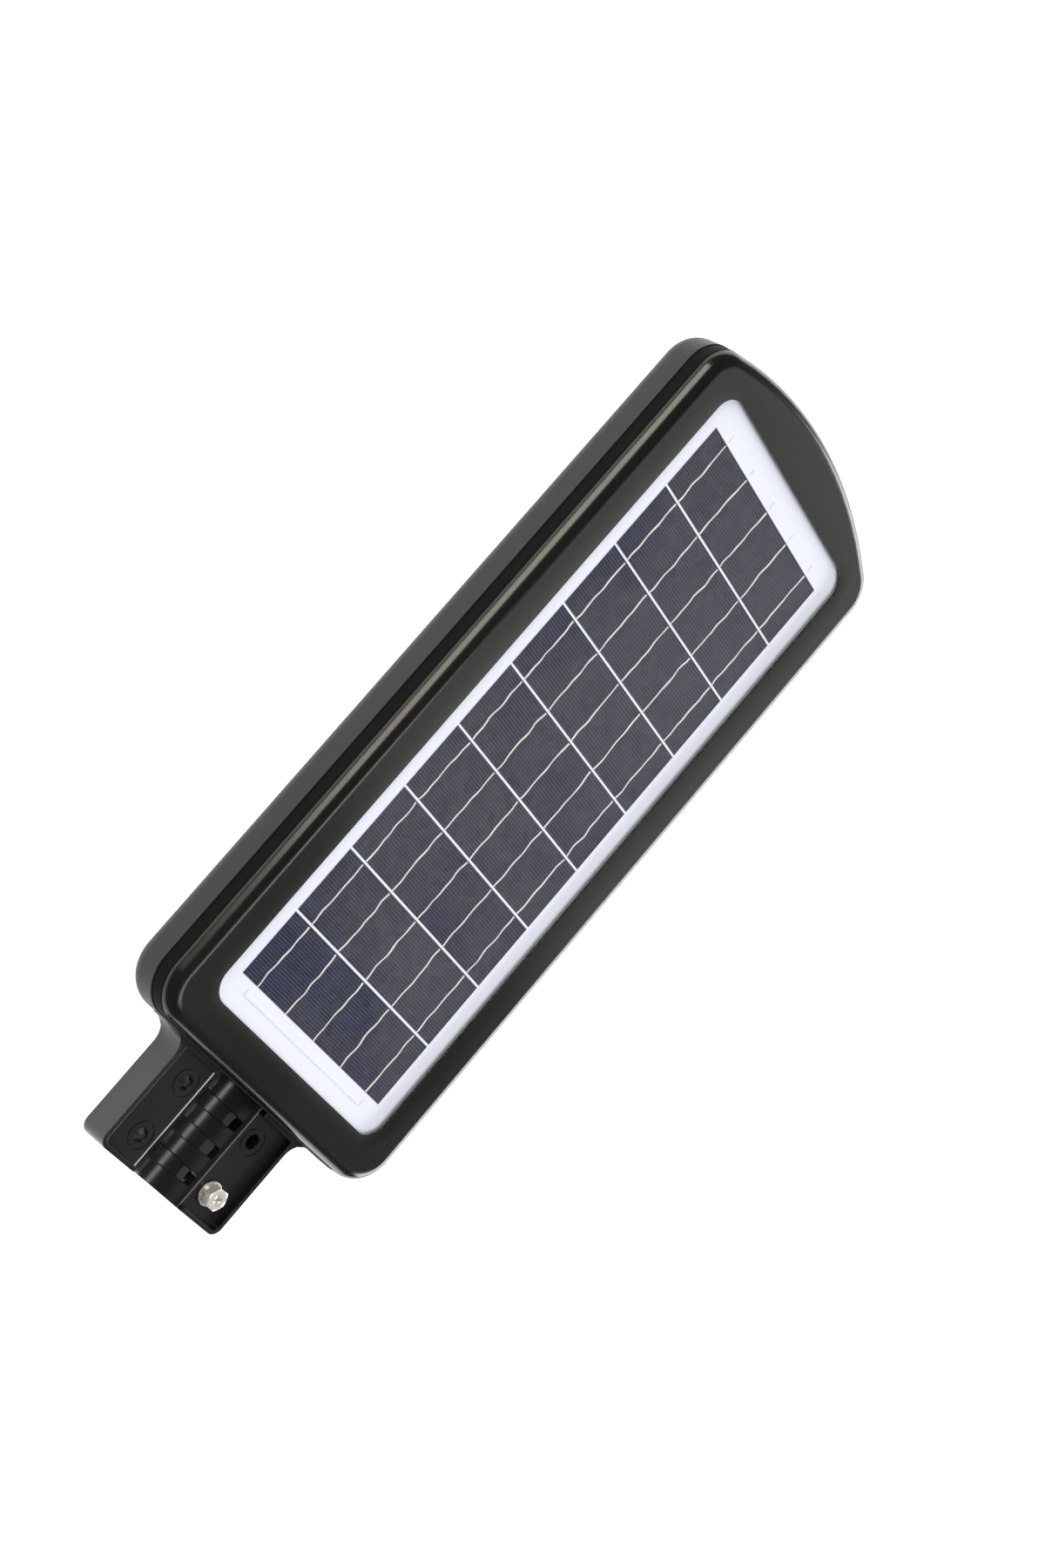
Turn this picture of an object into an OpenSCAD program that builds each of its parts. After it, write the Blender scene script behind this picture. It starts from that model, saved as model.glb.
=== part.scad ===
// Solar street lamp: a flat sealed body with the solar panel on top and the light
// underneath, carried by a short grooved arm that lies against a horizontal pole.
// The origin is on the pole's axis at the middle of the arm's seat, +Y runs along
// the body to its tip and +Z is the panel's normal. Lengths are millimetres.

/* [Pole arm] */
// Radius of the pole that the arm lies on
pole_r = 25; // [20:0.5:32]
// Distance from the middle of the seat to the arm's free end
arm_reach = 37; // [34:1:60]
// Width of the arm
arm_w = 123; // [112:1:150]
// Depth of the flat land below the pole's axis
land_drop = 10.9; // [8:0.1:13]
// Height of the rim around the land
rim_h = 4; // [2:0.5:8]
// Thickness of the rim and of the arm's side walls
arm_wall = 3; // [2.5:0.5:5]
// Thickness of the land and of its boss roofs
land_t = 4; // [3:0.5:6]
// Thickness of the shell around the pole groove
groove_wall = 3; // [2.5:0.5:5]
// Radius of the flare where the arm meets the body
flare_r = 12; // [6:1:16]
// Corner radius of the arm in plan
arm_corner_r = 7; // [3:1:12]
// Distance between the clamp bolts across the pole
bolt_span_x = 73.6; // [70:0.2:92]
// Distance between the clamp bolts along the pole
bolt_span_y = 38; // [30:1:46]
// Radius of a clamp bolt hole
bolt_hole_r = 4.5; // [4.3:0.1:5.5]
// Width of a strap channel across the groove
strap_w = 9; // [6:0.5:12]
// Depth of a strap channel
strap_depth = 1.5; // [0.5:0.5:2]
// Radius of the groove's rounded lips
lip_r = 3; // [1:0.5:4]
// Distance from one strap channel to the next
strap_pitch = 20; // [16:1:24]
// Width of a strap slot across the pole
slot_w = 5.5; // [4.5:0.5:6]

/* [Body] */
// Distance from the middle of the seat to the body's near face
body_near = 37.5; // [37.5:0.5:60]
// Length of the body
body_l = 513; // [500:1:620]
// Width of the top cover
body_w = 238; // [230:2:300]
// Radius of the bulging tip
tip_r = 280; // [200:5:400]
// Corner radius of the body in plan
corner_r = 25; // [18:1:40]
// Depth of the parting line below the pole's axis
parting_drop = 4.5; // [2:0.5:8]
// Height of the top cover above the parting line
cover_h = 16.7; // [16.7:0.1:24]
// Depth of the lower housing below the parting line
housing_h = 24; // [22:0.5:40]
// Radius of the top cover's outer edge
cover_edge_r = 9.5; // [4:0.5:12]
// Radius of the lower housing's bottom edge
housing_edge_r = 12; // [4:0.5:14]
// Step by which the lower housing stands proud of the cover
housing_step = 0.6; // [0:0.1:1.5]
// Wall thickness of both shells
wall = 3; // [2.5:0.1:4]
// Width of the flange at the parting line
flange_w = 7.5; // [7:0.5:10]
// Thickness of the top cover's frame over the panel
lip_t = 2.5; // [2:0.1:4]

/* [Panel] */
// Number of solar cells in the row
cell_count = 9; // [4:1:9]
// Width of a solar cell
cell_w = 156.75; // [120:0.25:160]
// Length of a cut solar cell
cell_l = 44.35; // [30:0.05:46]
// Gap between two cells
cell_gap = 1.5; // [1:0.1:3]
// Number of current ribbons on each cell
ribbon_count = 5; // [2:1:5]
// Width of a current ribbon
ribbon_w = 1.2; // [0.8:0.1:2]
// White margin beside the cells inside the opening
margin_side = 13.1; // [8:0.1:14]
// White margin beyond the cells inside the opening
margin_end = 19.7; // [14:0.1:24]
// Corner radius of the opening
opening_r = 14; // [4:1:16]
// Overlap of the cover's frame on the panel
panel_overlap = 5; // [3:0.5:6]
// Thickness of the glass
glass_t = 2; // [1.5:0.1:3.2]
// Thickness of the white back board
board_t = 2; // [1:0.1:2.5]
// Width of the silicone bead around the panel
bead_w = 1.5; // [1:0.1:2]

/* [Light] */
// Number of light emitters across the body
led_nx = 8; // [4:1:8]
// Number of light emitters along the body
led_ny = 7; // [4:1:7]
// Distance between light emitters
led_pitch = 20; // [14:1:20]
// Distance from the body's tip to the middle of the light window
light_from_tip = 150.5; // [140:0.5:180]
// Width of the light window
window_w = 168; // [160:1:180]
// Length of the light window
window_l = 148; // [140:1:160]
// Thickness of the clear lens cover
lens_t = 3; // [2:0.5:4]

/* [Electrics] */
// Number of battery cells
battery_count = 6; // [2:1:6]
// Diameter of a battery cell
battery_d = 26.2; // [18.4:0.1:26.4]
// Length of a battery cell
battery_l = 65.5; // [60:0.5:70]
// Width of the controller board
pcb_w = 110; // [90:1:120]
// Length of the controller board
pcb_l = 66; // [60:1:70]
// Radius of the motion sensor's dome
dome_r = 12; // [10:0.5:14]
// Travel of the power button
button_travel = 1.5; // [0.5:0.5:2]
// Radius of the power button
button_r = 5.5; // [4:0.5:6]

/* [Hidden] */

$fn = 64;
eps = 0.02;

// Heights above the pole's axis
parting_z = -parting_drop;
face_z = parting_z + cover_h;
lip_z = face_z - lip_t;
glass_z = lip_z - glass_t;
cell_t = 0.2;
film_t = 0.4;
cell_z = glass_z - film_t;
back_z = cell_z - board_t;
bottom_z = parting_z - housing_h;
floor_t = wall;
floor_z = bottom_z + floor_t;
land_z = -land_drop;
rim_z = land_z + rim_h;
arm_bottom_z = -(pole_r + groove_wall);

// The body's outline: near corners, tip corners and the bulging tip
half_w = body_w / 2;
tip_y = body_near + body_l;
tip_cy = tip_y - tip_r;
corner_x = half_w - corner_r;
near_corner_y = body_near + corner_r;
tip_corner_y = tip_cy + sqrt(pow(tip_r - corner_r, 2) - pow(corner_x, 2));
tip_angle = atan2(tip_corner_y - tip_cy, corner_x);

function arc_points(cx, cy, r, a0, a1, n) =
    [for (i = [0:n]) [cx + r * cos(a0 + (a1 - a0) * i / n), cy + r * sin(a0 + (a1 - a0) * i / n)]];

// The body's outline as points, moved inwards by inset
function outline_points(inset) = concat(
    arc_points(corner_x, near_corner_y, corner_r - inset, -90, 0, 10),
    arc_points(corner_x, tip_corner_y, corner_r - inset, 0, tip_angle, 8),
    [for (i = [1:19]) let (a = tip_angle + (180 - 2 * tip_angle) * i / 20)
        [(tip_r - inset) * cos(a), tip_cy + (tip_r - inset) * sin(a)]],
    arc_points(-corner_x, tip_corner_y, corner_r - inset, 180 - tip_angle, 180, 8),
    arc_points(-corner_x, near_corner_y, corner_r - inset, 180, 270, 10)
);

// The same outline with true arcs
module outline(inset) {
    w = half_w - inset;
    r = corner_r - inset;
    tangent_x = (tip_r - inset) * cos(tip_angle);
    translate([-w, near_corner_y]) square([2 * w, tip_corner_y - near_corner_y]);
    translate([-corner_x, body_near + inset]) square([2 * corner_x, tip_corner_y - body_near - inset]);
    intersection() {
        translate([0, tip_cy]) circle(tip_r - inset);
        translate([-tangent_x, near_corner_y]) square([2 * tangent_x, tip_y - near_corner_y]);
    }
    for (x = [-corner_x, corner_x], y = [near_corner_y, tip_corner_y]) translate([x, y]) circle(r);
}

// A body of stacked outlines, each level given as [height, inset]
module stacked(levels) {
    n = len(outline_points(0));
    points = [for (level = levels) for (p = outline_points(level[1])) [p[0], p[1], level[0]]];
    sides = [for (k = [0:len(levels) - 2]) for (i = [0:n - 1]) let (j = (i + 1) % n)
        [k * n + i, (k + 1) * n + i, (k + 1) * n + j, k * n + j]];
    bottom = [for (i = [0:n - 1]) i];
    top = [for (i = [n - 1:-1:0]) (len(levels) - 1) * n + i];
    polyhedron(points, concat(sides, [bottom, top]));
}

// A flat slab of the body's outline
module slab(z0, z1, inset) {
    translate([0, 0, z0]) linear_extrude(z1 - z0) outline(inset);
}

module rounded_rect(w, l, r) {
    square([w - 2 * r, l], center = true);
    square([w, l - 2 * r], center = true);
    for (x = [-1, 1], y = [-1, 1]) translate([x * (w / 2 - r), y * (l / 2 - r)]) circle(r);
}

// A plate with rounded corners whose middle is at [x, y], from height z0 to z1
module plate(at, size, r, z0, z1) {
    translate([at[0], at[1], z0]) linear_extrude(z1 - z0) rounded_rect(size[0], size[1], r);
}

module box_between(a, b) {
    translate(a) cube(b - a);
}

module post(at, r, z0, z1) {
    translate([at[0], at[1], z0]) cylinder(r = r, h = z1 - z0);
}

module hexagon_post(at, across, z0, z1) {
    translate([at[0], at[1], z0]) cylinder(d = across / cos(30), h = z1 - z0, $fn = 6);
}

// A wire of radius r through the given points
function unit(v) = v / norm(v);
function wire_heading(p, i) = unit((i < len(p) - 1 ? unit(p[i + 1] - p[i]) : [0, 0, 0])
    + (i > 0 ? unit(p[i] - p[i - 1]) : [0, 0, 0]));
function square_to(v, d) = unit(v - (v * d) * d);
function wire_sides(p, last, i = 0) = i == len(p) ? [] :
    let (u = square_to(last, wire_heading(p, i))) concat([u], wire_sides(p, u, i + 1));

module wire(p, r) {
    sides = 8;
    us = wire_sides(p, [0.31, 0.87, 0.12]);
    points = [for (i = [0:len(p) - 1]) let (u = us[i], v = cross(wire_heading(p, i), u))
        for (k = [0:sides - 1]) p[i] + r * (cos(360 * k / sides) * u + sin(360 * k / sides) * v)];
    skin = [for (i = [0:len(p) - 2]) for (k = [0:sides - 1])
        let (m = (k + 1) % sides, a = i * sides, b = a + sides)
        each [[a + k, b + k, b + m], [a + k, b + m, a + m]]];
    first = [for (k = [0:sides - 1]) k];
    last = [for (k = [sides - 1:-1:0]) (len(p) - 1) * sides + k];
    polyhedron(points, concat(skin, [first, last]));
}

// The panel stack's sizes
cell_pitch = cell_l + cell_gap;
cells_l = cell_count * cell_pitch - cell_gap;
opening_w = cell_w + 2 * margin_side;
opening_l = cells_l + 2 * margin_end;
panel_w = opening_w + 2 * panel_overlap;
panel_l = opening_l + 2 * panel_overlap;
panel_at = [0, body_near + body_l / 2 - 5.2];
bevel_w = 9;
bevel_drop = 1;
rib_t = 1.5;
rib_w = panel_w + 2 * (bead_w + rib_t);
rib_l = panel_l + 2 * (bead_w + rib_t);

// The screws that close the body come up from below into the cover's bosses
screw_r = 1.45;
screw_gap = 0.05;
screw_head_r = 3.1;
screw_head_h = 2.4;
boss_r = 4.5;
boss_inset = 14;
side_screws = 5;
screw_first_y = body_near + 24.5;
screw_last_y = tip_corner_y - 27;
cover_screw_places = concat(
    [for (s = [-1, 1], i = [0:side_screws - 1])
        [s * (half_w - boss_inset), screw_first_y + (screw_last_y - screw_first_y) * i / (side_screws - 1)]],
    [[0, tip_y - boss_inset], [-46, body_near + boss_inset - 0.5], [46, body_near + boss_inset - 0.5]]
);
head_seat_z = parting_z - 16;
screw_tip_z = parting_z + 7.5;

module top_cover() {
    edge = [for (i = [0:6]) let (a = 90 * i / 6)
        [face_z - cover_edge_r * (1 - sin(a)), cover_edge_r * (1 - cos(a))]];
    color("#2e2e2d")
    difference() {
        union() {
            difference() {
                stacked(concat([[parting_z, 0]], edge));
                slab(parting_z - eps, parting_z + wall, flange_w);
                slab(parting_z + wall - eps, face_z - cover_edge_r + 1.5, wall);
                slab(face_z - cover_edge_r + 1.4, lip_z, cover_edge_r - 1.5);
            }
            difference() {
                plate(panel_at, [rib_w, rib_l], 3, back_z, lip_z + eps);
                plate(panel_at, [rib_w - 2 * rib_t, rib_l - 2 * rib_t], 1.5, back_z - 1, lip_z);
            }
            for (p = cover_screw_places) post(p, boss_r, parting_z, lip_z + eps);
        }
        plate(panel_at, [opening_w, opening_l], opening_r, lip_z - 1, face_z + 1);
        hull() {
            plate(panel_at, [opening_w, opening_l], opening_r, face_z - bevel_drop, face_z - bevel_drop + eps);
            plate(panel_at, [opening_w + 2 * bevel_w, opening_l + 2 * bevel_w], opening_r + bevel_w,
                face_z, face_z + eps, $fn = 48);
        }
        for (p = cover_screw_places) post(p, screw_r + screw_gap, parting_z - 1, screw_tip_z + 1);
    }
}

// Gasket groove in the lower housing's rim
gasket_in = wall + 0.2;
gasket_w = 2.6;
gasket_h = 2.5;
gasket_gap = 0.1;

// The light window and what closes it
light_at = [0, tip_y - light_from_tip];
lens_land = 14;
lens_gap = 0.5;
lens_w = window_w + 2 * (lens_land - lens_gap);
lens_l = window_l + 2 * (lens_land - lens_gap);
seal_t = 1;
reflector_t = 2;
lens_top_z = bottom_z + lens_t;
seat_z = lens_top_z + seal_t;
led_seat_z = seat_z + reflector_t;
pad_wall = 4;
lens_screw_in = 4;
lens_screw_places = [for (p = [[-1, -1], [0, -1], [1, -1], [-1, 0], [1, 0], [-1, 1], [0, 1], [1, 1]])
    light_at + [p[0] * (lens_w / 2 - lens_screw_in), p[1] * (lens_l / 2 - lens_screw_in)]];
lens_boss_r = 3.4;
lens_boss_h = 6;
led_board_w = window_w + 8;
led_board_l = window_l + 8;
led_board_t = 1.6;
led_board_z = led_seat_z + led_board_t;

// Round holes in the floor of the lower housing
dome_at = [0, light_at[1] - window_l / 2 - lens_land - 44];
switch_at = [-74, body_near + 58];
barrel_r = 7.9;
barrel_gap = 0.2;
vent_at = [82, body_near + 40];
vent_r = 5;
pcb_at = [12, body_near + 71];
pcb_z = floor_z + 8;
pcb_t = 1.6;
indicator_at = pcb_at + [-20, -pcb_l / 2 + 12];
receiver_at = pcb_at + [10, -pcb_l / 2 + 12];
indicator_r = 2.5;
receiver_r = 4;
fit_gap = 0.1;
post_r = 3;
pcb_post_places = [for (x = [-1, 1], y = [-1, 1]) pcb_at + [x * (pcb_w / 2 - 5), y * (pcb_l / 2 - 5)]];

// The battery tray stands between the controller and the sensor
battery_pitch = battery_d + 0.8;
tray_t = 1.5;
tray_w = battery_count * battery_pitch + 2 * tray_t;
tray_l = battery_l + 2 * tray_t + 6;
tray_at = [0, pcb_at[1] + pcb_l / 2 + 10 + tray_l / 2];
battery_z = floor_z + tray_t + battery_d / 2;
strap_screw_x = tray_w / 2 + 6;

// The arm's root screws come through the housing's end wall
arm_screw_xs = [-54, -38, 38, 54];
arm_screw_z = floor_z + 4.3;
arm_root_t = 3.5;
arm_root_y = body_near - housing_step;
root_wall = housing_edge_r - 2;
arm_pad_w = arm_w + 2 * flare_r + 5;

module lower_housing() {
    edge = [for (i = [0:6]) let (a = 90 * i / 6)
        [bottom_z + housing_edge_r * (1 - cos(a)), housing_edge_r * (1 - sin(a)) - housing_step]];
    step_z = bottom_z + housing_edge_r - 1.5;
    color("#3a3a3b")
    difference() {
        union() {
            difference() {
                union() {
                    stacked(concat(edge, [[parting_z, -housing_step]]));
                    box_between([-arm_pad_w / 2, arm_root_y, arm_bottom_z],
                        [arm_pad_w / 2, body_near + housing_edge_r, parting_z - 1]);
                }
                slab(floor_z, step_z, housing_edge_r - 2);
                slab(step_z - eps, parting_z - 5, wall);
                slab(parting_z - 5 - eps, parting_z + 1, flange_w);
            }
            for (p = cover_screw_places) post(p, boss_r, floor_z - eps, parting_z);
            plate(light_at, [lens_w + 2 * pad_wall, lens_l + 2 * pad_wall], 6, floor_z - eps, led_seat_z);
            for (p = lens_screw_places) post(p, lens_boss_r, seat_z, seat_z + lens_boss_h);
            for (p = pcb_post_places) post(p, post_r, floor_z - eps, pcb_z);
            for (s = [-1, 1]) post(dome_at + [s * 20, 0], post_r, floor_z - eps, sensor_z);
            for (s = [-1, 1]) post([s * strap_screw_x, tray_at[1]], post_r + 0.5, floor_z - eps, strap_lug_z);
        }
        difference() {
            slab(parting_z - gasket_h, parting_z + 1, gasket_in);
            slab(parting_z - gasket_h - 1, parting_z + 2, gasket_in + gasket_w + 2 * gasket_gap);
        }
        for (p = cover_screw_places) {
            post(p, screw_r + 0.3, bottom_z - 1, parting_z + 1);
            post(p, screw_head_r + 0.4, bottom_z - 1, head_seat_z);
        }
        plate(light_at, [lens_w + 2 * lens_gap, lens_l + 2 * lens_gap], 5, bottom_z - 1, seat_z);
        plate(light_at, [window_w, window_l], 3, bottom_z - 1, led_seat_z + 1);
        for (p = lens_screw_places) post(p, 1.3, bottom_z, seat_z + 5.5);
        for (p = led_screw_places) post(p, 1.05, led_seat_z - 1.6, led_seat_z + 1);
        post(dome_at, dome_r + fit_gap, bottom_z - 1, floor_z + 1);
        post(switch_at, barrel_r + barrel_gap, bottom_z - 1, floor_z + 1);
        post(vent_at, vent_r + fit_gap, bottom_z - 1, floor_z + 1);
        post(indicator_at, indicator_r + fit_gap, bottom_z - 1, floor_z + 1);
        post(receiver_at, receiver_r + fit_gap, bottom_z - 1, floor_z + 1);
        for (p = pcb_post_places) post(p, 1.1, floor_z + 1, pcb_z + 1);
        for (s = [-1, 1]) post(dome_at + [s * 20, 0], 1.1, floor_z + 1, sensor_z + 1);
        for (s = [-1, 1]) post([s * strap_screw_x, tray_at[1]], 1.3, floor_z + 4, strap_lug_z + 1);
        for (x = arm_screw_xs)
            translate([x, arm_root_y - 1, arm_screw_z]) rotate([-90, 0, 0]) cylinder(r = 2.2, h = root_wall + 3);
    }
}

module housing_gasket() {
    color("#8c8c88")
    difference() {
        slab(parting_z - gasket_h, parting_z, gasket_in + gasket_gap);
        slab(parting_z - gasket_h - 1, parting_z + 1, gasket_in + gasket_gap + gasket_w);
    }
}

// Places across the arm
bolt_places = [for (x = [-1, 1], y = [-1, 1]) [x * bolt_span_x / 2, y * bolt_span_y / 2]];
fitted_bolt = [bolt_span_x / 2, -bolt_span_y / 2];
strap_places = [-strap_pitch, 0, strap_pitch];
slot_x = 19.2;
slot_l = strap_w - 1;
nut_across = 13;
nut_h = 6.5;
nut_gap = 0.2;
bolt_boss_r = nut_across / 2 / cos(30) + 2.2;

// The lip's arc runs from the groove's wall to the land, a little into both
lip_bite = 0.04;
lip_cz = land_z - lip_r + lip_bite;
lip_cx = sqrt(pow(pole_r + lip_r - lip_bite, 2) - pow(lip_cz, 2));

module groove_lips() {
    wall_at = (pole_r - lip_bite) / (pole_r + lip_r - lip_bite);
    for (s = [-1, 1]) scale([s, 1, 1])
        translate([0, arm_root_y + 1, 0]) rotate([90, 0, 0]) linear_extrude(arm_reach + arm_root_y + 2)
            difference() {
                polygon([[lip_cx * wall_at, lip_cz * wall_at], [lip_cx, lip_cz], [lip_cx, land_z + rim_h + 1],
                    [lip_cx * wall_at - 2.5, land_z + rim_h + 1]]);
                translate([lip_cx, lip_cz]) circle(lip_r);
            }
}

module arm_plan(inset) {
    w = arm_w / 2 - inset;
    l = arm_reach + arm_root_y;
    translate([0, -arm_reach + l / 2]) rounded_rect(2 * w, l - 2 * inset, max(arm_corner_r - inset, 1));
    translate([-w, -arm_reach + l / 2]) square([2 * w, l / 2 - inset]);
}

module arm_flare() {
    for (s = [-1, 1]) scale([s, 1])
        difference() {
            translate([arm_w / 2 - 1, arm_root_y - flare_r]) square([flare_r + 1, flare_r]);
            translate([arm_w / 2 + flare_r, arm_root_y - flare_r]) circle(flare_r);
        }
}

module pole_arm() {
    color("#242424")
    difference() {
        union() {
            difference() {
                translate([0, 0, arm_bottom_z]) linear_extrude(rim_z - arm_bottom_z) arm_plan(0);
                translate([0, 0, land_z]) linear_extrude(rim_h + 1) arm_plan(arm_wall);
                translate([0, 0, arm_bottom_z - 1]) linear_extrude(land_z - land_t - arm_bottom_z + 1)
                    arm_plan(arm_wall);
            }
            translate([0, 0, arm_bottom_z]) linear_extrude(rim_z - arm_bottom_z) arm_flare();
            box_between([-arm_w / 2 + 1, arm_root_y - arm_root_t, arm_bottom_z],
                [arm_w / 2 - 1, arm_root_y, rim_z]);
            intersection() {
                translate([0, arm_root_y - 0.5, 0]) rotate([90, 0, 0])
                    cylinder(r = pole_r + groove_wall, h = arm_reach + arm_root_y - 1);
                box_between([-arm_w / 2, -arm_reach, arm_bottom_z - 1], [arm_w / 2, arm_root_y, land_z]);
            }
            for (p = bolt_places) post(p, bolt_boss_r, arm_bottom_z + 3, land_z - 1);
            for (x = arm_screw_xs)
                translate([x, arm_root_y - 1, arm_screw_z]) rotate([90, 0, 0]) cylinder(r = 4, h = 9);
        }
        translate([0, arm_root_y + 1, 0]) rotate([90, 0, 0])
            cylinder(r = pole_r, h = arm_reach + arm_root_y + 2);
        groove_lips();
        for (y = strap_places) {
            intersection() {
                translate([0, y + strap_w / 2, 0]) rotate([90, 0, 0])
                    cylinder(r = pole_r + strap_depth, h = strap_w);
                box_between([-slot_x, y - strap_w, arm_bottom_z], [slot_x, y + strap_w, land_z]);
            }
            for (s = [-1, 1])
                box_between([s * slot_x - slot_w / 2, y - slot_l / 2, arm_bottom_z - 1],
                    [s * slot_x + slot_w / 2, y + slot_l / 2, 1]);
        }
        for (p = bolt_places) {
            post(p, bolt_hole_r, arm_bottom_z - 1, rim_z + 1);
            hexagon_post(p, nut_across + 2 * nut_gap, arm_bottom_z - 1, land_z - land_t);
        }
        for (x = arm_screw_xs)
            translate([x, arm_root_y + 1, arm_screw_z]) rotate([90, 0, 0]) cylinder(r = 1.8, h = 10);
    }
}

module panel_glass() {
    color("#cfd6de", 0.35) plate(panel_at, [panel_w, panel_l], 1.5, glass_z, lip_z);
}

module at_each_cell() {
    for (i = [0:cell_count - 1])
        translate([panel_at[0], panel_at[1] + (i - (cell_count - 1) / 2) * cell_pitch, 0]) children();
}

ribbon_t = 0.12;
ribbon_pitch = cell_w / ribbon_count;

module solar_cells() {
    color("#35334a") at_each_cell()
        box_between([-cell_w / 2, -cell_l / 2, cell_z], [cell_w / 2, cell_l / 2, cell_z + cell_t]);
}

module cell_ribbons() {
    z = cell_z + cell_t;
    color("#c9c4ae") at_each_cell()
        for (k = [0:ribbon_count - 1]) let (x = (k - (ribbon_count - 1) / 2) * ribbon_pitch)
            box_between([x - ribbon_w / 2, -cell_l / 2, z], [x + ribbon_w / 2, cell_l / 2 - 0.8, z + ribbon_t]);
}

// A collecting ribbon lies beyond the first cell, and short tabs beyond the last
collector_w = 5;
collector_gap = 4;
tab_l = 7;

module end_ribbons() {
    near = panel_at[1] - cells_l / 2;
    far = panel_at[1] + cells_l / 2;
    half = (ribbon_count - 1) / 2 * ribbon_pitch + 4;
    color("#d9d6c8") {
        box_between([-half, near - collector_gap - collector_w, cell_z],
            [half, near - collector_gap, cell_z + cell_t]);
        for (k = [0:ribbon_count - 1]) let (x = (k - (ribbon_count - 1) / 2) * ribbon_pitch)
            box_between([x - ribbon_w / 2, far + 0.5, cell_z], [x + ribbon_w / 2, far + tab_l, cell_z + cell_t]);
    }
}

module encapsulant() {
    color("#eef0fa")
    difference() {
        plate(panel_at, [panel_w, panel_l], 1.5, cell_z, glass_z);
        plate(panel_at, [cell_w + 1, cells_l + 2 * (collector_gap + collector_w + 1)], 1, cell_z - 1, glass_z + 1);
    }
}

module panel_backboard() {
    color("#f2f3f8") plate(panel_at, [panel_w, panel_l], 1.5, back_z, cell_z);
}

module panel_bead() {
    color("#1d1d1d")
    difference() {
        plate(panel_at, [panel_w + 2 * bead_w, panel_l + 2 * bead_w], 1.5 + bead_w, back_z, lip_z);
        plate(panel_at, [panel_w, panel_l], 1.5, back_z - 1, lip_z + 1);
    }
}

// Components on the controller board, as [x, y, width, length, height] from its middle
chips = [[-36, 8, 10, 10, 1.6], [-18, 14, 6, 5, 1.5], [14, 12, 10, 9, 2.2], [14, -8, 10, 9, 2.2],
    [-8, -2, 5, 6, 1.5]];
coils = [[36, 12, 12, 12, 6], [36, -8, 12, 12, 6]];
plugs = [[-40, -16, 10, 8, 7], [-8, 26, 10, 8, 7], [20, 26, 10, 8, 7], [40, 26, 8, 8, 7]];
board_top_z = pcb_z + pcb_t;

module controller_board() {
    color("#1f6b3a")
    difference() {
        plate(pcb_at, [pcb_w, pcb_l], 2, pcb_z, board_top_z);
        for (p = pcb_post_places) post(p, 1.6, pcb_z - 1, board_top_z + 1);
    }
}

module on_board(c) {
    translate([pcb_at[0] + c[0] - c[2] / 2, pcb_at[1] + c[1] - c[3] / 2, board_top_z]) cube([c[2], c[3], c[4]]);
}

module controller_chips() {
    color("#1a1a1a") for (c = chips) on_board(c);
}

module controller_coils() {
    color("#55504a") for (c = coils) post(pcb_at + [c[0], c[1]], c[2] / 2, board_top_z, board_top_z + c[4]);
}

module controller_plugs() {
    color("#e8e4d4") for (c = plugs) on_board(c);
}

function plug_top(i) = [pcb_at[0] + plugs[i][0], pcb_at[1] + plugs[i][1], board_top_z + plugs[i][4]];

// The panel's terminal box lies in line with its plug
terminal_at = [plug_top(2)[0], panel_at[1] - panel_l / 2 + 30];
terminal_size = [26, 14];
terminal_h = 4.5;

module panel_terminal() {
    color("#1b1b1b") plate(terminal_at, terminal_size, 2, back_z - terminal_h, back_z);
}

// Small board screws: two for the sensor, four for the controller
sensor_z = floor_z + 6;

module small_screw(at, z, head_r, shank_r, l) {
    post(at, shank_r, z - l, z + eps);
    post(at, head_r, z, z + 1.8);
}

module board_screws() {
    color("#b8b8b4") {
        for (p = pcb_post_places) small_screw(p, board_top_z, 2.6, 1.05, 6);
        for (s = [-1, 1]) small_screw(dome_at + [s * 20, 0], sensor_z + pcb_t, 2.6, 1.05, 6);
    }
}

module sensor_board() {
    color("#1f6b3a")
    difference() {
        plate(dome_at, [48, 24], 2, sensor_z, sensor_z + pcb_t);
        for (s = [-1, 1]) post(dome_at + [s * 20, 0], 1.6, sensor_z - 1, sensor_z + pcb_t + 1);
    }
}

can_r = 4.6;
can_h = 4.5;

module sensor_can() {
    color("#c2c0b8") post(dome_at, can_r, sensor_z - can_h, sensor_z);
}

// The dome hangs through the floor with its collar resting inside
dome_wall = 1.2;
collar_r = dome_r + 3;
collar_t = 1;

module sensor_dome() {
    centre_z = bottom_z + 1;
    color("#f4f4f2")
    difference() {
        union() {
            post(dome_at, collar_r, floor_z, floor_z + collar_t);
            post(dome_at, dome_r, centre_z, floor_z + collar_t);
        }
        post(dome_at, dome_r - dome_wall, centre_z - 1, floor_z + collar_t + 1);
    }
    color("#f4f4f2")
    translate([dome_at[0], dome_at[1], centre_z]) rotate_extrude()
        intersection() {
            difference() {
                circle(dome_r);
                circle(dome_r - dome_wall);
            }
            translate([0, -dome_r]) square([dome_r, dome_r + eps]);
        }
}

module remote_receiver() {
    color("#3a0d12") {
        post(receiver_at, receiver_r, bottom_z, floor_z + 0.5);
        plate(receiver_at, [6, 5], 1, floor_z + 0.5 - eps, pcb_z);
    }
}

module indicator_light() {
    color("#e9f0e4") {
        post(indicator_at, indicator_r, bottom_z, floor_z);
        post(indicator_at, indicator_r - 0.5, floor_z - eps, pcb_z);
    }
}

// The push switch: a flange outside, a barrel through the floor and a nut inside
switch_seal_t = 1;
switch_flange_r = 10.5;
switch_flange_t = 2;
flange_z = bottom_z - switch_seal_t;
button_gap = 0.08;
button_out = 2;
switch_back_z = floor_z + 14;
button_back_z = floor_z + 6;
blade_y = 3;
blade_h = 5;

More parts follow.
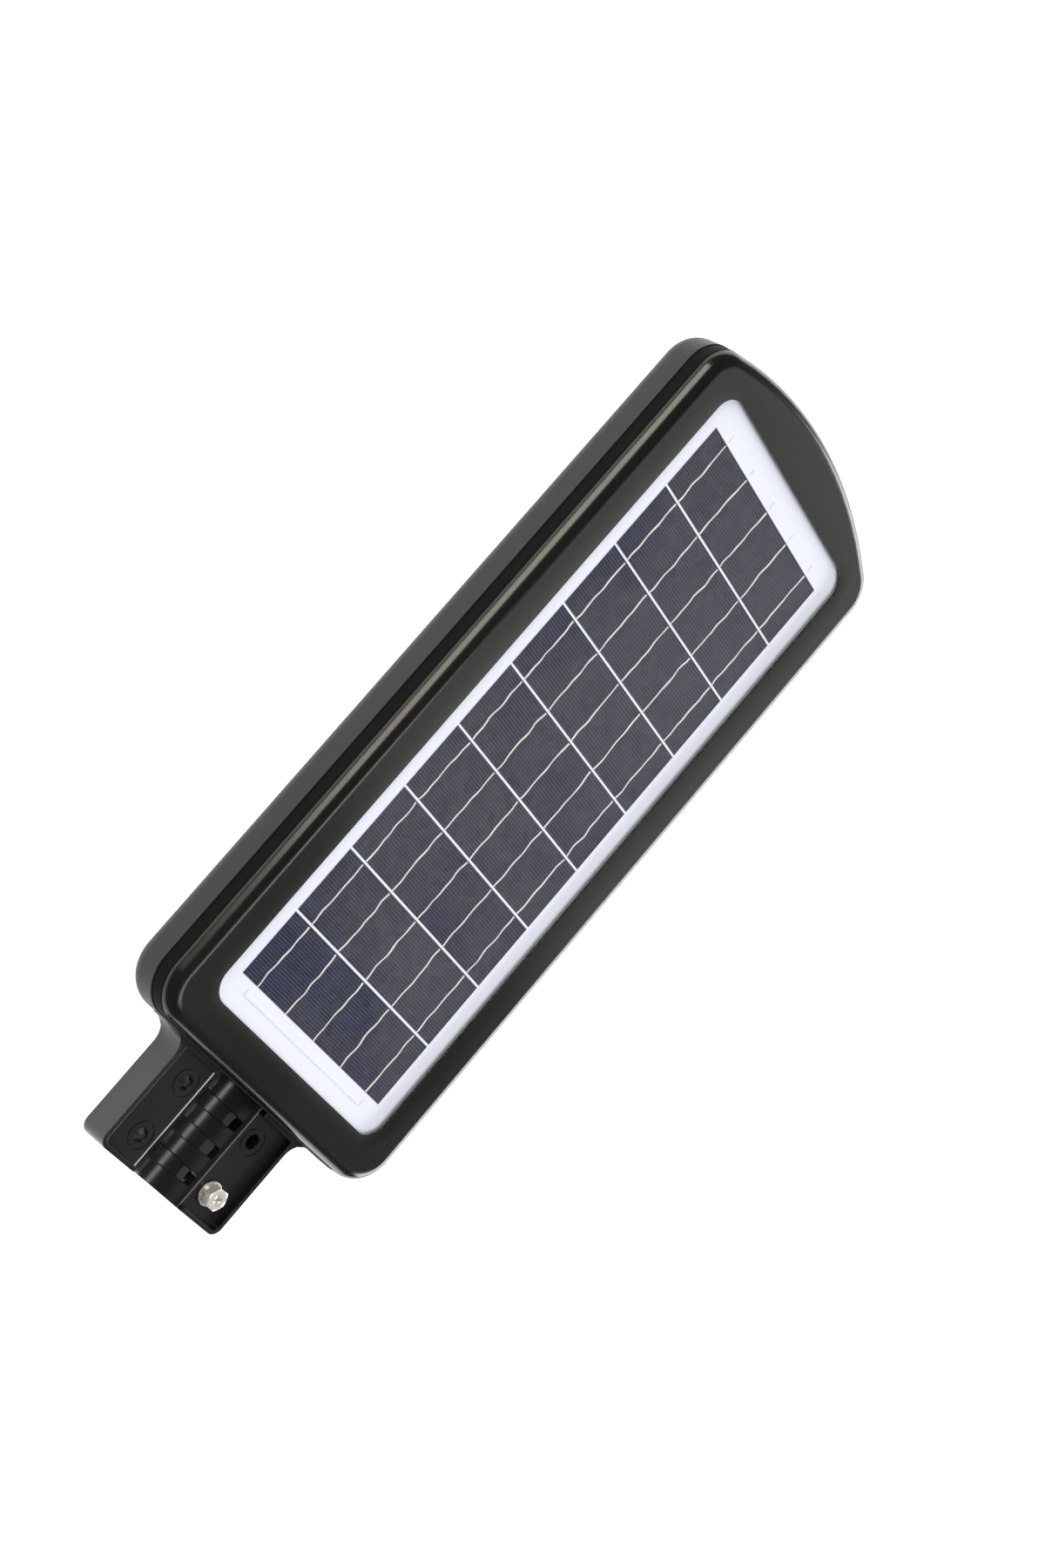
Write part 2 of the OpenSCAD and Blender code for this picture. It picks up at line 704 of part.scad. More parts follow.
module power_switch() {
    color("#c4c4c2")
    difference() {
        union() {
            post(switch_at, switch_flange_r, flange_z - switch_flange_t, flange_z);
            post(switch_at, barrel_r, flange_z - eps, switch_back_z);
            for (s = [-1, 1])
                box_between([switch_at[0] - 1.4, switch_at[1] + s * blade_y - 0.4, switch_back_z - eps],
                    [switch_at[0] + 1.4, switch_at[1] + s * blade_y + 0.4, switch_back_z + blade_h]);
        }
        post(switch_at, button_r + button_gap, flange_z - switch_flange_t - 1, button_back_z + button_travel + 0.3);
    }
}

module power_button() {
    color("#1c1c1c") post(switch_at, button_r, flange_z - switch_flange_t - button_out, button_back_z);
}

module switch_seal() {
    color("#202020")
    difference() {
        post(switch_at, switch_flange_r - 1, flange_z, bottom_z);
        post(switch_at, barrel_r + 0.1, flange_z - 1, bottom_z + 1);
    }
}

module switch_nut() {
    color("#b8b8b4")
    difference() {
        hexagon_post(switch_at, 20, floor_z, floor_z + 3);
        post(switch_at, barrel_r + 0.1, floor_z - 1, floor_z + 4);
    }
}

module vent_plug() {
    color("#2b2b2b") {
        post(vent_at, vent_r, bottom_z - eps, floor_z + 4);
        post(vent_at, vent_r + 3, bottom_z - 2, bottom_z);
    }
}

// Battery pack
module battery_tray() {
    color("#2f4f6f")
    difference() {
        plate(tray_at, [tray_w, tray_l], 3, floor_z, battery_z);
        translate([-battery_count * battery_pitch / 2, tray_at[1] - battery_l / 2 - 3, floor_z + tray_t])
            cube([battery_count * battery_pitch, battery_l + 6, battery_d]);
    }
}

module at_each_battery() {
    for (i = [0:battery_count - 1])
        translate([(i - (battery_count - 1) / 2) * battery_pitch, tray_at[1], battery_z]) children();
}

module battery_cells() {
    color("#2c7fb8") at_each_battery()
        rotate([90, 0, 0]) cylinder(d = battery_d, h = battery_l, center = true);
}

tab_t = 0.3;

module battery_tabs() {
    w = (battery_count - 1) * battery_pitch + 12;
    color("#c9c9c4") for (s = [-1, 1])
        translate([0, tray_at[1] + s * (battery_l + tab_t) / 2, battery_z]) cube([w, tab_t, 8], center = true);
}

// The strap lies over the cells and steps down to a lug on each side
strap_t = 1;
strap_l = 14;
strap_z = battery_z + battery_d / 2;
strap_lug_z = strap_z - 8;
strap_leg_x = tray_w / 2 + 0.3;

module battery_strap() {
    y = tray_at[1];
    color("#3a3a3a") {
        box_between([-strap_leg_x - strap_t, y - strap_l / 2, strap_z],
            [strap_leg_x + strap_t, y + strap_l / 2, strap_z + strap_t]);
        for (s = [-1, 1]) scale([s, 1, 1]) {
            box_between([strap_leg_x, y - strap_l / 2, strap_lug_z],
                [strap_leg_x + strap_t, y + strap_l / 2, strap_z + eps]);
            difference() {
                box_between([strap_leg_x, y - strap_l / 2, strap_lug_z],
                    [strap_screw_x + 5, y + strap_l / 2, strap_lug_z + strap_t]);
                post([strap_screw_x, y], 1.8, strap_lug_z - 1, strap_lug_z + strap_t + 1);
            }
        }
    }
}

module battery_strap_screws() {
    color("#b8b8b4") for (s = [-1, 1])
        small_screw([s * strap_screw_x, tray_at[1]], strap_lug_z + strap_t, 2.8, 1.25, 10);
}

module protection_board() {
    y = tray_at[1] - battery_l / 2 - tab_t - 1;
    color("#1f6b3a")
        box_between([-30, y - 0.6, battery_z - 5], [30, y + 1, battery_z + 7]);
}

// Inner leads, as round points between their two ends
lead_r = 0.9;
lead_gap = 1.3;

module battery_lead() {
    y = tray_at[1] - battery_l / 2 - tab_t - 1.6 - lead_r;
    end = plug_top(1);
    color("#b02a20") for (s = [-1, 1] * lead_gap)
        wire([[end[0] + s, y, battery_z + 4], [end[0] + s, y, battery_z + 11],
            [end[0] + s, end[1] + 3, end[2] + 8], [end[0] + s, end[1], end[2] + 5],
            [end[0] + s, end[1], end[2]]], lead_r);
}

module panel_lead() {
    end = plug_top(2);
    z = back_z - terminal_h;
    color("#1a1a1a") for (s = [-1, 1] * lead_gap)
        wire([[terminal_at[0] + s, terminal_at[1], z], [terminal_at[0] + s, terminal_at[1], z - 2],
            [terminal_at[0] + s, terminal_at[1] + 2, z - 4],
            [end[0] + s, end[1] - 8, end[2] + 6], [end[0] + s, end[1], end[2] + 4],
            [end[0] + s, end[1], end[2]]], lead_r);
}

module switch_lead() {
    end = plug_top(0);
    z = switch_back_z + blade_h;
    color("#1a1a1a") for (s = [-1, 1])
        wire([[switch_at[0], switch_at[1] + s * blade_y, z], [switch_at[0], switch_at[1] + s * blade_y, z + 2],
            [switch_at[0] + 8, switch_at[1] + s * lead_gap, z + 5],
            [end[0] - 8, end[1] + s * lead_gap, z + 5], [end[0], end[1] + s * lead_gap, end[2] + 5],
            [end[0], end[1] + s * lead_gap, end[2]]], lead_r);
}

// The light's lead runs past the side of the battery tray
module led_lead() {
    end = plug_top(3);
    x = tray_w / 2 + 14.5;
    y = light_at[1] - led_board_l / 2 + 5;
    color("#c4c4be") for (s = [-1, 1] * lead_gap)
        wire([[end[0], end[1] - s, end[2]], [end[0], end[1] - s, end[2] + 4],
            [x + s, end[1] + 12 - s, floor_z + 10], [x + s, tray_at[1], floor_z + 8],
            [x + s, dome_at[1] - 8, floor_z + 8], [64 + s, y - 10, led_board_z + 8],
            [64 + s, y, led_board_z + 6], [64 + s, y, led_board_z]], lead_r);
}

// Light engine: board above the window, emitters facing down through the reflector
led_screw_places = [for (x = [-1, 1], y = [-1, 0, 1])
    light_at + [x * (led_board_w / 2 - 2), y * (led_board_l / 2 - 20)]];

module at_each_led() {
    for (i = [0:led_nx - 1], j = [0:led_ny - 1])
        translate(concat(light_at + led_pitch * [i - (led_nx - 1) / 2, j - (led_ny - 1) / 2], [led_seat_z]))
            children();
}

module led_board() {
    color("#e6e7e4")
    difference() {
        plate(light_at, [led_board_w, led_board_l], 3, led_seat_z, led_board_z);
        for (p = led_screw_places) post(p, 1.2, led_seat_z - 1, led_board_z + 1);
    }
}

led_size = 5;
led_h = 0.9;

module led_emitters() {
    color("#f2d94e") at_each_led()
        translate([-led_size / 2, -led_size / 2, -led_h]) cube([led_size, led_size, led_h]);
}

module led_board_screws() {
    color("#b8b8b4") for (p = led_screw_places) small_screw(p, led_board_z, 1.9, 1, 3);
}

module led_reflector() {
    color("#f7f7f7")
    difference() {
        plate(light_at, [window_w - 0.4, window_l - 0.4], 2.8, seat_z, led_seat_z);
        at_each_led() translate([0, 0, -reflector_t - 0.5]) cylinder(r1 = 8.9, r2 = 3.7, h = reflector_t + 1);
    }
}

module lens_gasket() {
    color("#8c8c88")
    difference() {
        plate(light_at, [window_w + 11, window_l + 11], 5, lens_top_z, seat_z);
        plate(light_at, [window_w + 2, window_l + 2], 3, lens_top_z - 1, seat_z + 1);
    }
}

module lens_cover() {
    color("#dfe8ee", 0.35)
    difference() {
        plate(light_at, [lens_w, lens_l], 4.5, bottom_z, lens_top_z);
        for (p = lens_screw_places) {
            post(p, 1.5, bottom_z - 1, lens_top_z + 1);
            post(p, 2.8, bottom_z - 1, bottom_z + 1.6);
        }
    }
}

module lens_screws() {
    color("#b8b8b4") for (p = lens_screw_places) {
        post(p, 1.2, bottom_z + 1.5, seat_z + 5);
        post(p, 2.6, bottom_z, bottom_z + 1.6);
    }
}

module cover_screws() {
    color("#9a9a96") for (p = cover_screw_places) {
        post(p, screw_r, head_seat_z - eps, screw_tip_z);
        post(p, screw_head_r, head_seat_z - screw_head_h, head_seat_z);
    }
}

module arm_screws() {
    y = body_near + root_wall;
    color("#9a9a96") for (x = arm_screw_xs) translate([x, y, arm_screw_z]) {
        rotate([90, 0, 0]) cylinder(r = 1.7, h = root_wall + 8);
        rotate([-90, 0, 0]) cylinder(r = 3.3, h = 2.4);
    }
}

// Clamp hardware, M8 by 20
bolt_r = 4;
bolt_l = 20;
head_h = 5.3;
flat_washer_t = 1.6;
spring_washer_t = 2;
head_z = land_z + flat_washer_t + spring_washer_t;

module cross_recess(z) {
    for (a = [0, 90]) translate([fitted_bolt[0], fitted_bolt[1], z]) rotate([0, 0, a + 30])
        translate([-3.2, -0.7, 0]) cube([6.4, 1.4, 3]);
}

module clamp_bolt() {
    color("#c8c8c4")
    difference() {
        union() {
            post(fitted_bolt, bolt_r, head_z - bolt_l, head_z + eps);
            hexagon_post(fitted_bolt, 13, head_z, head_z + head_h);
        }
        cross_recess(head_z + head_h - 2.4);
    }
}

module washer(r_in, r_out, z, t) {
    difference() {
        post(fitted_bolt, r_out, z, z + t);
        post(fitted_bolt, r_in, z - 1, z + t + 1);
    }
}

module spring_washer() {
    color("#b4b4b0")
    difference() {
        washer(bolt_r + 0.1, 6.4, land_z + flat_washer_t, spring_washer_t);
        translate([fitted_bolt[0], fitted_bolt[1], land_z + flat_washer_t - 0.5]) rotate([0, 0, 200])
            translate([3, -0.4, 0]) cube([5, 0.8, spring_washer_t + 1]);
    }
}

module flat_washer() {
    color("#c0c0bc") washer(bolt_r + 0.2, 8, land_z, flat_washer_t);
}

module clamp_nut() {
    color("#c0c0bc")
    difference() {
        hexagon_post(fitted_bolt, nut_across, land_z - land_t - nut_h, land_z - land_t);
        post(fitted_bolt, bolt_r + 0.05, land_z - land_t - nut_h - 1, land_z);
    }
}

top_cover();
lower_housing();
housing_gasket();
pole_arm();
panel_glass();
solar_cells();
cell_ribbons();
end_ribbons();
encapsulant();
panel_backboard();
panel_bead();
panel_terminal();
panel_lead();
battery_tray();
battery_cells();
battery_tabs();
battery_strap();
battery_strap_screws();
protection_board();
battery_lead();
controller_board();
controller_chips();
controller_coils();
controller_plugs();
board_screws();
sensor_board();
sensor_can();
sensor_dome();
remote_receiver();
indicator_light();
power_switch();
power_button();
switch_seal();
switch_nut();
switch_lead();
vent_plug();
led_board();
led_emitters();
led_board_screws();
led_reflector();
led_lead();
lens_gasket();
lens_cover();
lens_screws();
cover_screws();
arm_screws();
clamp_bolt();
spring_washer();
flat_washer();
clamp_nut();
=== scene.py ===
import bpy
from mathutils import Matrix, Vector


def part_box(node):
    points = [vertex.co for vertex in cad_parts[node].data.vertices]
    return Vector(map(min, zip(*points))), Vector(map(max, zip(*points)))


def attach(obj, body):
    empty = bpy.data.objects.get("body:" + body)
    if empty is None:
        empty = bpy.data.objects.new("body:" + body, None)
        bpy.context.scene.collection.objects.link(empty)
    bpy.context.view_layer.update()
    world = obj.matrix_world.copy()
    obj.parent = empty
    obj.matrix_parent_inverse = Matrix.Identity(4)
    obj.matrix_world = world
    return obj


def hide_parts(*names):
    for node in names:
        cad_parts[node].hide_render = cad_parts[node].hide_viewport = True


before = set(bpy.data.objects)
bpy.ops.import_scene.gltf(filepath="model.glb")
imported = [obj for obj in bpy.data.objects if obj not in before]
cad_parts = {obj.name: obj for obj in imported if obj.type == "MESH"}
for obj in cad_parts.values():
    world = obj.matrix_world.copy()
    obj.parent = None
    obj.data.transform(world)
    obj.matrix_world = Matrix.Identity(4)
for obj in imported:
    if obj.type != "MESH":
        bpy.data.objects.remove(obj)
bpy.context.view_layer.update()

import math

import bpy
from mathutils import Euler, Matrix, Vector

bl_info = {
    "name": "Solar street lamp",
    "version": (1, 0, 0),
    "blender": (4, 5, 0),
    "location": "3D View > Sidebar > Lamp",
    "description": "Builds the moulded, metal and solar pieces of a street lamp around its frame",
    "category": "Object",
}

MM = 0.001

# Heights of the lamp's main levels, in millimetres above the pole's axis
FACE_Z = 12.2
LIP_Z = 9.7
CELL_TOP_Z = 7.5
BOARD_TOP_Z = 7.3
PARTING_Z = -4.5
LAND_Z = -10.9
RIM_Z = -6.9
FLOOR_Z = -25.5
ARM_BOTTOM_Z = -28.0
BOTTOM_Z = -28.5

# The body's outline
HALF_W = 119.0
NEAR_Y = 37.5
CORNER_R = 25.0
CORNER_X = HALF_W - CORNER_R
NEAR_CORNER_Y = NEAR_Y + CORNER_R
TIP_R = 280.0
TIP_CENTRE_Y = 270.5
TIP_CORNER_Y = TIP_CENTRE_Y + math.sqrt((TIP_R - CORNER_R) ** 2 - CORNER_X ** 2)
TIP_TURN = math.degrees(math.atan2(TIP_CORNER_Y - TIP_CENTRE_Y, CORNER_X))

# The solar panel: nine cut cells in a row, with five ribbons on each
PANEL_Y = 288.8
OPENING_W, OPENING_L, OPENING_R = 182.95, 450.55, 14.0
CELLS, CELL_PITCH = 9, 45.85
RIBBONS, RIBBON_PITCH = 5, 31.35
RIBBON_THICK, TAB_THICK = 0.11, 0.18

# Where the screws, bolts and fittings sit
LIGHT_Y = 400.0
COVER_SCREWS = [(s * 105.0, 62.0 + 104.635 * i) for s in (-1, 1) for i in range(5)] + [
    (0.0, 536.5), (-46.0, 51.0), (46.0, 51.0)]
LENS_SCREWS = [(x * 93.5, LIGHT_Y + y * 83.5) for x, y in (
    (-1, -1), (0, -1), (1, -1), (-1, 0), (1, 0), (-1, 1), (0, 1), (1, 1))]
BOLT_PLACES = [(x * 36.8, y * 19.0) for x in (-1, 1) for y in (-1, 1)]
FITTED_BOLT = (36.8, -19.0)
STRAP_YS = (-20.0, 0.0, 20.0)
SLOT_X = 19.2
BOLT_ACROSS_FLATS = 13
POCKET_ACROSS_FLATS = 13.4
ARM_SCREW_XS = (-54.0, -38.0, 38.0, 54.0)
ARM_SCREW_Z = -21.2
DOME_AT = (0.0, 268.0)
SWITCH_AT = (-74.0, 95.5)
VENT_AT = (82.0, 77.5)
INDICATOR_AT = (-8.0, 87.5)
RECEIVER_AT = (22.0, 87.5)


# ---------------------------------------------------------------- sizes and colours

def length(name, text, default):
    """A size in metres that the sidebar shows with its unit."""
    return bpy.props.FloatProperty(name=name, description=text, default=default * MM, unit="LENGTH",
                                   subtype="DISTANCE")


def colour(name, text, default):
    """A colour that the sidebar shows as a swatch."""
    return bpy.props.FloatVectorProperty(name=name, description=text, default=default, size=3, min=0.0,
                                         max=1.0, subtype="COLOR")


def power(name, text, default):
    """A light's brightness."""
    return bpy.props.FloatProperty(name=name, description=text, default=default, min=0.0)


class LampSizes(bpy.types.PropertyGroup):
    """Sizes of the moulded and metal pieces."""

    cover_edge: length("Cover edge", "Radius of the cover's rounded outer edge", 9.5)
    cover_bevel: length("Opening bevel", "Width of the bevel round the panel opening", 9.0)
    cover_bevel_drop: length("Bevel drop", "Depth of the bevel round the panel opening", 1.0)
    housing_edge: length("Housing edge", "Radius of the housing's bottom edge", 12.0)
    housing_step: length("Housing step", "Step by which the housing stands out below the cover", 0.6)
    groove: length("Pole groove", "Radius of the arm's pole groove", 25.0)
    lip: length("Groove lip", "Radius of the groove's rounded lips", 6.0)
    channel: length("Strap channel", "Width of a strap channel", 9.0)
    soft_edge: length("Edge softening", "Width of the softened moulded edges", 0.45)
    ribbon: length("Ribbon width", "Width of a current ribbon", 1.2)
    ribbon_wave: length("Ribbon wave", "How far the ribbons wander from a straight line", 1.1)


class LampColours(bpy.types.PropertyGroup):
    """Colours of the finishes."""

    cover: colour("Cover", "Black plastic of the cover", (0.006, 0.006, 0.006))
    housing: colour("Housing", "Dark grey plastic of the housing", (0.020, 0.020, 0.0205))
    arm: colour("Arm", "Black plastic of the arm", (0.007, 0.007, 0.007))
    silicon: colour("Silicon", "Slate violet of the solar cells", (0.037, 0.034, 0.046))
    silicon_deep: colour("Deep silicon", "Navy blue of some cells' patches", (0.007, 0.011, 0.034))
    ribbon: colour("Ribbon", "Tinned copper of the current ribbons", (0.80, 0.77, 0.67))
    laminate: colour("Laminate", "White back of the panel", (0.87, 0.875, 0.91))
    steel: colour("Steel", "Plated steel of the clamp bolt", (0.88, 0.86, 0.79))


class LampStage(bpy.types.PropertyGroup):
    """Strength and warmth of the studio lights."""

    side: power("Side softbox", "Brightness of the tall softbox on the camera's side", 6.5)
    top: power("Top strip", "Brightness of the overhead strip", 4.5)
    far: power("Far panel", "Brightness of the dim panel beyond the tip", 0.8)
    low: power("Low strip", "Brightness of the low strip across the lamp", 6.5)
    fill: power("Overhead fill", "Brightness of the soft fill that leaves no gloss", 2.6)
    room: power("Room", "Brightness of the room around the lamp", 0.10)
    warm: colour("Side light colour", "Colour of the side softbox", (1.0, 0.965, 0.86))


# ---------------------------------------------------------------- modelling by hand

def point(x, y, z):
    return Vector((x * MM, y * MM, z * MM))


def alone(obj):
    """Selects one object and nothing else."""
    bpy.ops.object.select_all(action="DESELECT")
    obj.select_set(True)
    bpy.context.view_layer.objects.active = obj


def edit(kind="VERT", everything=None):
    """Starts edit mode on vertices, edges or faces."""
    bpy.ops.object.mode_set(mode="EDIT")
    bpy.ops.mesh.select_mode(type=kind)
    if everything is not None:
        bpy.ops.mesh.select_all(action="SELECT" if everything else "DESELECT")


def leave():
    bpy.ops.object.mode_set(mode="OBJECT")


def pick(obj, kind, test):
    """Selects the vertices, edges or faces that pass a test of their place in millimetres."""
    edit(kind, False)
    leave()
    mesh = obj.data
    if kind == "VERT":
        for vertex in mesh.vertices:
            vertex.select = bool(test(vertex.co / MM))
    elif kind == "EDGE":
        for line in mesh.edges:
            line.select = bool(test(*(mesh.vertices[i].co / MM for i in line.vertices)))
    else:
        for face in mesh.polygons:
            face.select = bool(test(face.center / MM, face.normal))
    edit(kind)


def start_point(name, x, y, z):
    """One vertex to draw from, in edit mode."""
    bpy.ops.object.select_all(action="DESELECT")
    bpy.ops.mesh.primitive_plane_add(size=0.002, location=point(x, y, z))
    obj = bpy.context.object
    obj.name = name
    obj.data.name = name
    bpy.ops.object.transform_apply()
    edit("VERT", True)
    bpy.ops.mesh.merge(type="CENTER")
    return obj


def move(x, y, z):
    bpy.ops.mesh.extrude_region_move(TRANSFORM_OT_translate={"value": point(x, y, z)})


def tidy_solid():
    """Merges doubles and points every face outwards, from edit mode, and leaves it."""
    bpy.ops.mesh.select_all(action="SELECT")
    bpy.ops.mesh.remove_doubles(threshold=0.000005)
    bpy.ops.mesh.normals_make_consistent(inside=False)
    leave()


def drawn(name, z, height, start, strokes, fine=6.0):
    """A slab from an outline drawn counterclockwise with a pen.
    A stroke is (x, y) for a straight line, or (cx, cy, turn) for an arc of so many degrees."""
    obj = start_point(name, start[0], start[1], z)
    here = Vector(start)
    for stroke in strokes:
        if len(stroke) == 2:
            there = Vector(stroke)
            move(there.x - here.x, there.y - here.y, 0)
            here = there
        else:
            centre, turn = Vector(stroke[:2]), stroke[2]
            bpy.ops.mesh.spin(steps=max(2, math.ceil(abs(turn) / fine)), angle=-math.radians(turn),
                              center=point(centre.x, centre.y, z), axis=(0, 0, 1))
            here = centre + Matrix.Rotation(math.radians(turn), 2) @ (here - centre)
    bpy.ops.mesh.select_all(action="SELECT")
    bpy.ops.mesh.remove_doubles(threshold=0.00002)
    bpy.ops.mesh.edge_face_add()
    bpy.ops.mesh.normals_make_consistent(inside=False)
    move(0, 0, height)
    tidy_solid()
    return obj


def body_slab(name, z, height, inset):
    """A slab with the body's outline."""
    w, r = HALF_W - inset, CORNER_X
    near = NEAR_Y + inset
    return drawn(name, z, height, (-r, near), [
        (r, near), (r, NEAR_CORNER_Y, 90), (w, TIP_CORNER_Y), (r, TIP_CORNER_Y, TIP_TURN),
        (0, TIP_CENTRE_Y, 180 - 2 * TIP_TURN), (-r, TIP_CORNER_Y, TIP_TURN), (-w, NEAR_CORNER_Y),
        (-r, NEAR_CORNER_Y, 90)], fine=3.0)


def plate(name, at, size, r, z, height, fine=7.5):
    """A slab with four rounded corners."""
    x, y = size[0] / 2 - r, size[1] / 2 - r
    a, b = at
    return drawn(name, z, height, (a - x, b - y - r), [
        (a + x, b - y - r), (a + x, b - y, 90), (a + x + r, b + y), (a + x, b + y, 90),
        (a - x, b + y + r), (a - x, b + y, 90), (a - x - r, b - y), (a - x, b - y, 90)], fine)


def soften(obj, test, width, segments=2):
    """Rounds the edges that pass a test of both their ends."""
    pick(obj, "EDGE", test)
    bpy.ops.mesh.bevel(offset=width * MM, segments=segments, affect="EDGES", clamp_overlap=False)
    tidy_solid()


def at_level(z):
    return lambda a, b: abs(a.z - z) < 0.01 and abs(b.z - z) < 0.01


def turned(name, at, profile, steps=48, ring=False):
    """A piece turned on a lathe about an upright axis. The profile is a list of radius and height."""
    obj = start_point(name, at[0] + profile[0][0], at[1], profile[0][1])
    for (r0, z0), (r1, z1) in zip(profile, profile[1:]):
        move(r1 - r0, 0, z1 - z0)
    if ring:
        move(profile[0][0] - profile[-1][0], 0, profile[0][1] - profile[-1][1])
    bpy.ops.mesh.select_all(action="SELECT")
    bpy.ops.mesh.remove_doubles(threshold=0.000002)
    bpy.ops.mesh.spin(steps=steps, angle=math.tau, center=point(at[0], at[1], 0), axis=(0, 0, 1))
    tidy_solid()
    return obj


def rounded(r, z0, z1, edge, n=4):
    """The outer profile of a disc whose top and bottom corners are rounded."""
    turns = [math.pi / 2 * i / n for i in range(n + 1)]
    low = [(r - edge + edge * math.sin(a), z0 + edge - edge * math.cos(a)) for a in turns]
    high = [(r - edge + edge * math.cos(a), z1 - edge + edge * math.sin(a)) for a in turns]
    return low + high


def post(name, at, r, z0, z1, steps=32):
    return turned(name, at, [(0, z0), (r, z0), (r, z1), (0, z1)], steps)


def put(obj, at=(0, 0, 0), turn=(0, 0, 0)):
    """Turns a shape by degrees about the origin, moves it, and applies both."""
    alone(obj)
    obj.rotation_euler = [math.radians(angle) for angle in turn]
    obj.location = point(*at)
    bpy.ops.object.transform_apply()
    return obj


def lay_down(obj, y):
    """Turns a slab drawn in plan so that it runs along the pole, ending at y."""
    return put(obj, (0, y, 0), (90, 0, 0))


def combine(obj, others, operation="DIFFERENCE"):
    """Cuts the other shapes from a piece, or adds them to it."""
    for other in others:
        alone(obj)
        bpy.ops.object.modifier_add(type="BOOLEAN")
        tool = obj.modifiers[-1]
        tool.operation, tool.solver, tool.object = operation, "EXACT", other
        bpy.ops.object.modifier_apply(modifier=tool.name)
        alone(other)
        bpy.ops.object.delete()
        alone(obj)
    return obj


def joined(pieces, name):
    """Joins several meshes into one object without merging them."""
    alone(pieces[0])
    for piece in pieces[1:]:
        piece.select_set(True)
    bpy.ops.object.join()
    pieces[0].name = name
    pieces[0].data.name = name
    return pieces[0]


def gathered(pieces):
    """Several shapes that don't touch each other, as one tool."""
    return [joined(pieces, "tool")] if pieces else []


def copies(obj, places, name):
    """Copies a piece to other places, each with its own mesh, and joins them."""
    made = [obj]
    for x, y in places:
        alone(obj)
        bpy.ops.object.duplicate(linked=False)
        copy = bpy.context.object
        bpy.ops.transform.translate(value=point(x, y, 0))
        bpy.ops.object.transform_apply()
        made.append(copy)
    return joined(made, name)


def modifier(obj, kind, **settings):
    alone(obj)
    bpy.ops.object.modifier_add(type=kind)
    tool = obj.modifiers[-1]
    for key, value in settings.items():
        setattr(tool, key, value)
    bpy.ops.object.modifier_apply(modifier=tool.name)


def done(obj, name, body, finish, replaced, angle=32, weighted=True):
    """Shades a piece, gives it its name, body and finish, and hides the nodes it stands for."""
    obj.name = name
    obj.data.name = name
    if angle:
        alone(obj)
        bpy.ops.object.shade_smooth_by_angle(angle=math.radians(angle))
        if weighted:
            modifier(obj, "WEIGHTED_NORMAL", keep_sharp=True)
    obj.data.materials.clear()
    obj.data.materials.append(finish)
    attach(obj, body)
    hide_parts(*replaced)
    if len(obj.data.polygons) < 1:
        raise RuntimeError(name + " has no faces")
    return obj


# ---------------------------------------------------------------- finishes

class Value:
    """A socket that takes part in sums: each sum adds its Math node."""

    def __init__(self, finish, socket):
        self.finish, self.socket = finish, socket

    def sum(self, operation, first, second):
        return self.finish.add("ShaderNodeMath", {"operation": operation}, {0: first, 1: second})

    def __add__(self, other):
        return self.sum("ADD", self, other)

    __radd__ = __add__

    def __sub__(self, other):
        return self.sum("SUBTRACT", self, other)

    def __rsub__(self, other):
        return self.sum("SUBTRACT", other, self)

    def __mul__(self, other):
        return self.sum("MULTIPLY", self, other)

    __rmul__ = __mul__

    def __truediv__(self, other):
        return self.sum("DIVIDE", self, other)

    def __rtruediv__(self, other):
        return self.sum("DIVIDE", other, self)

    def __pow__(self, other):
        return self.sum("POWER", self, other)

    def __lt__(self, other):
        return self.sum("LESS_THAN", self, other)

    def __gt__(self, other):
        return self.sum("GREATER_THAN", self, other)

    def fold(self, pitch):
        return self.sum("PINGPONG", self, pitch)

    def floor(self):
        return self.sum("FLOOR", self, 0.0)


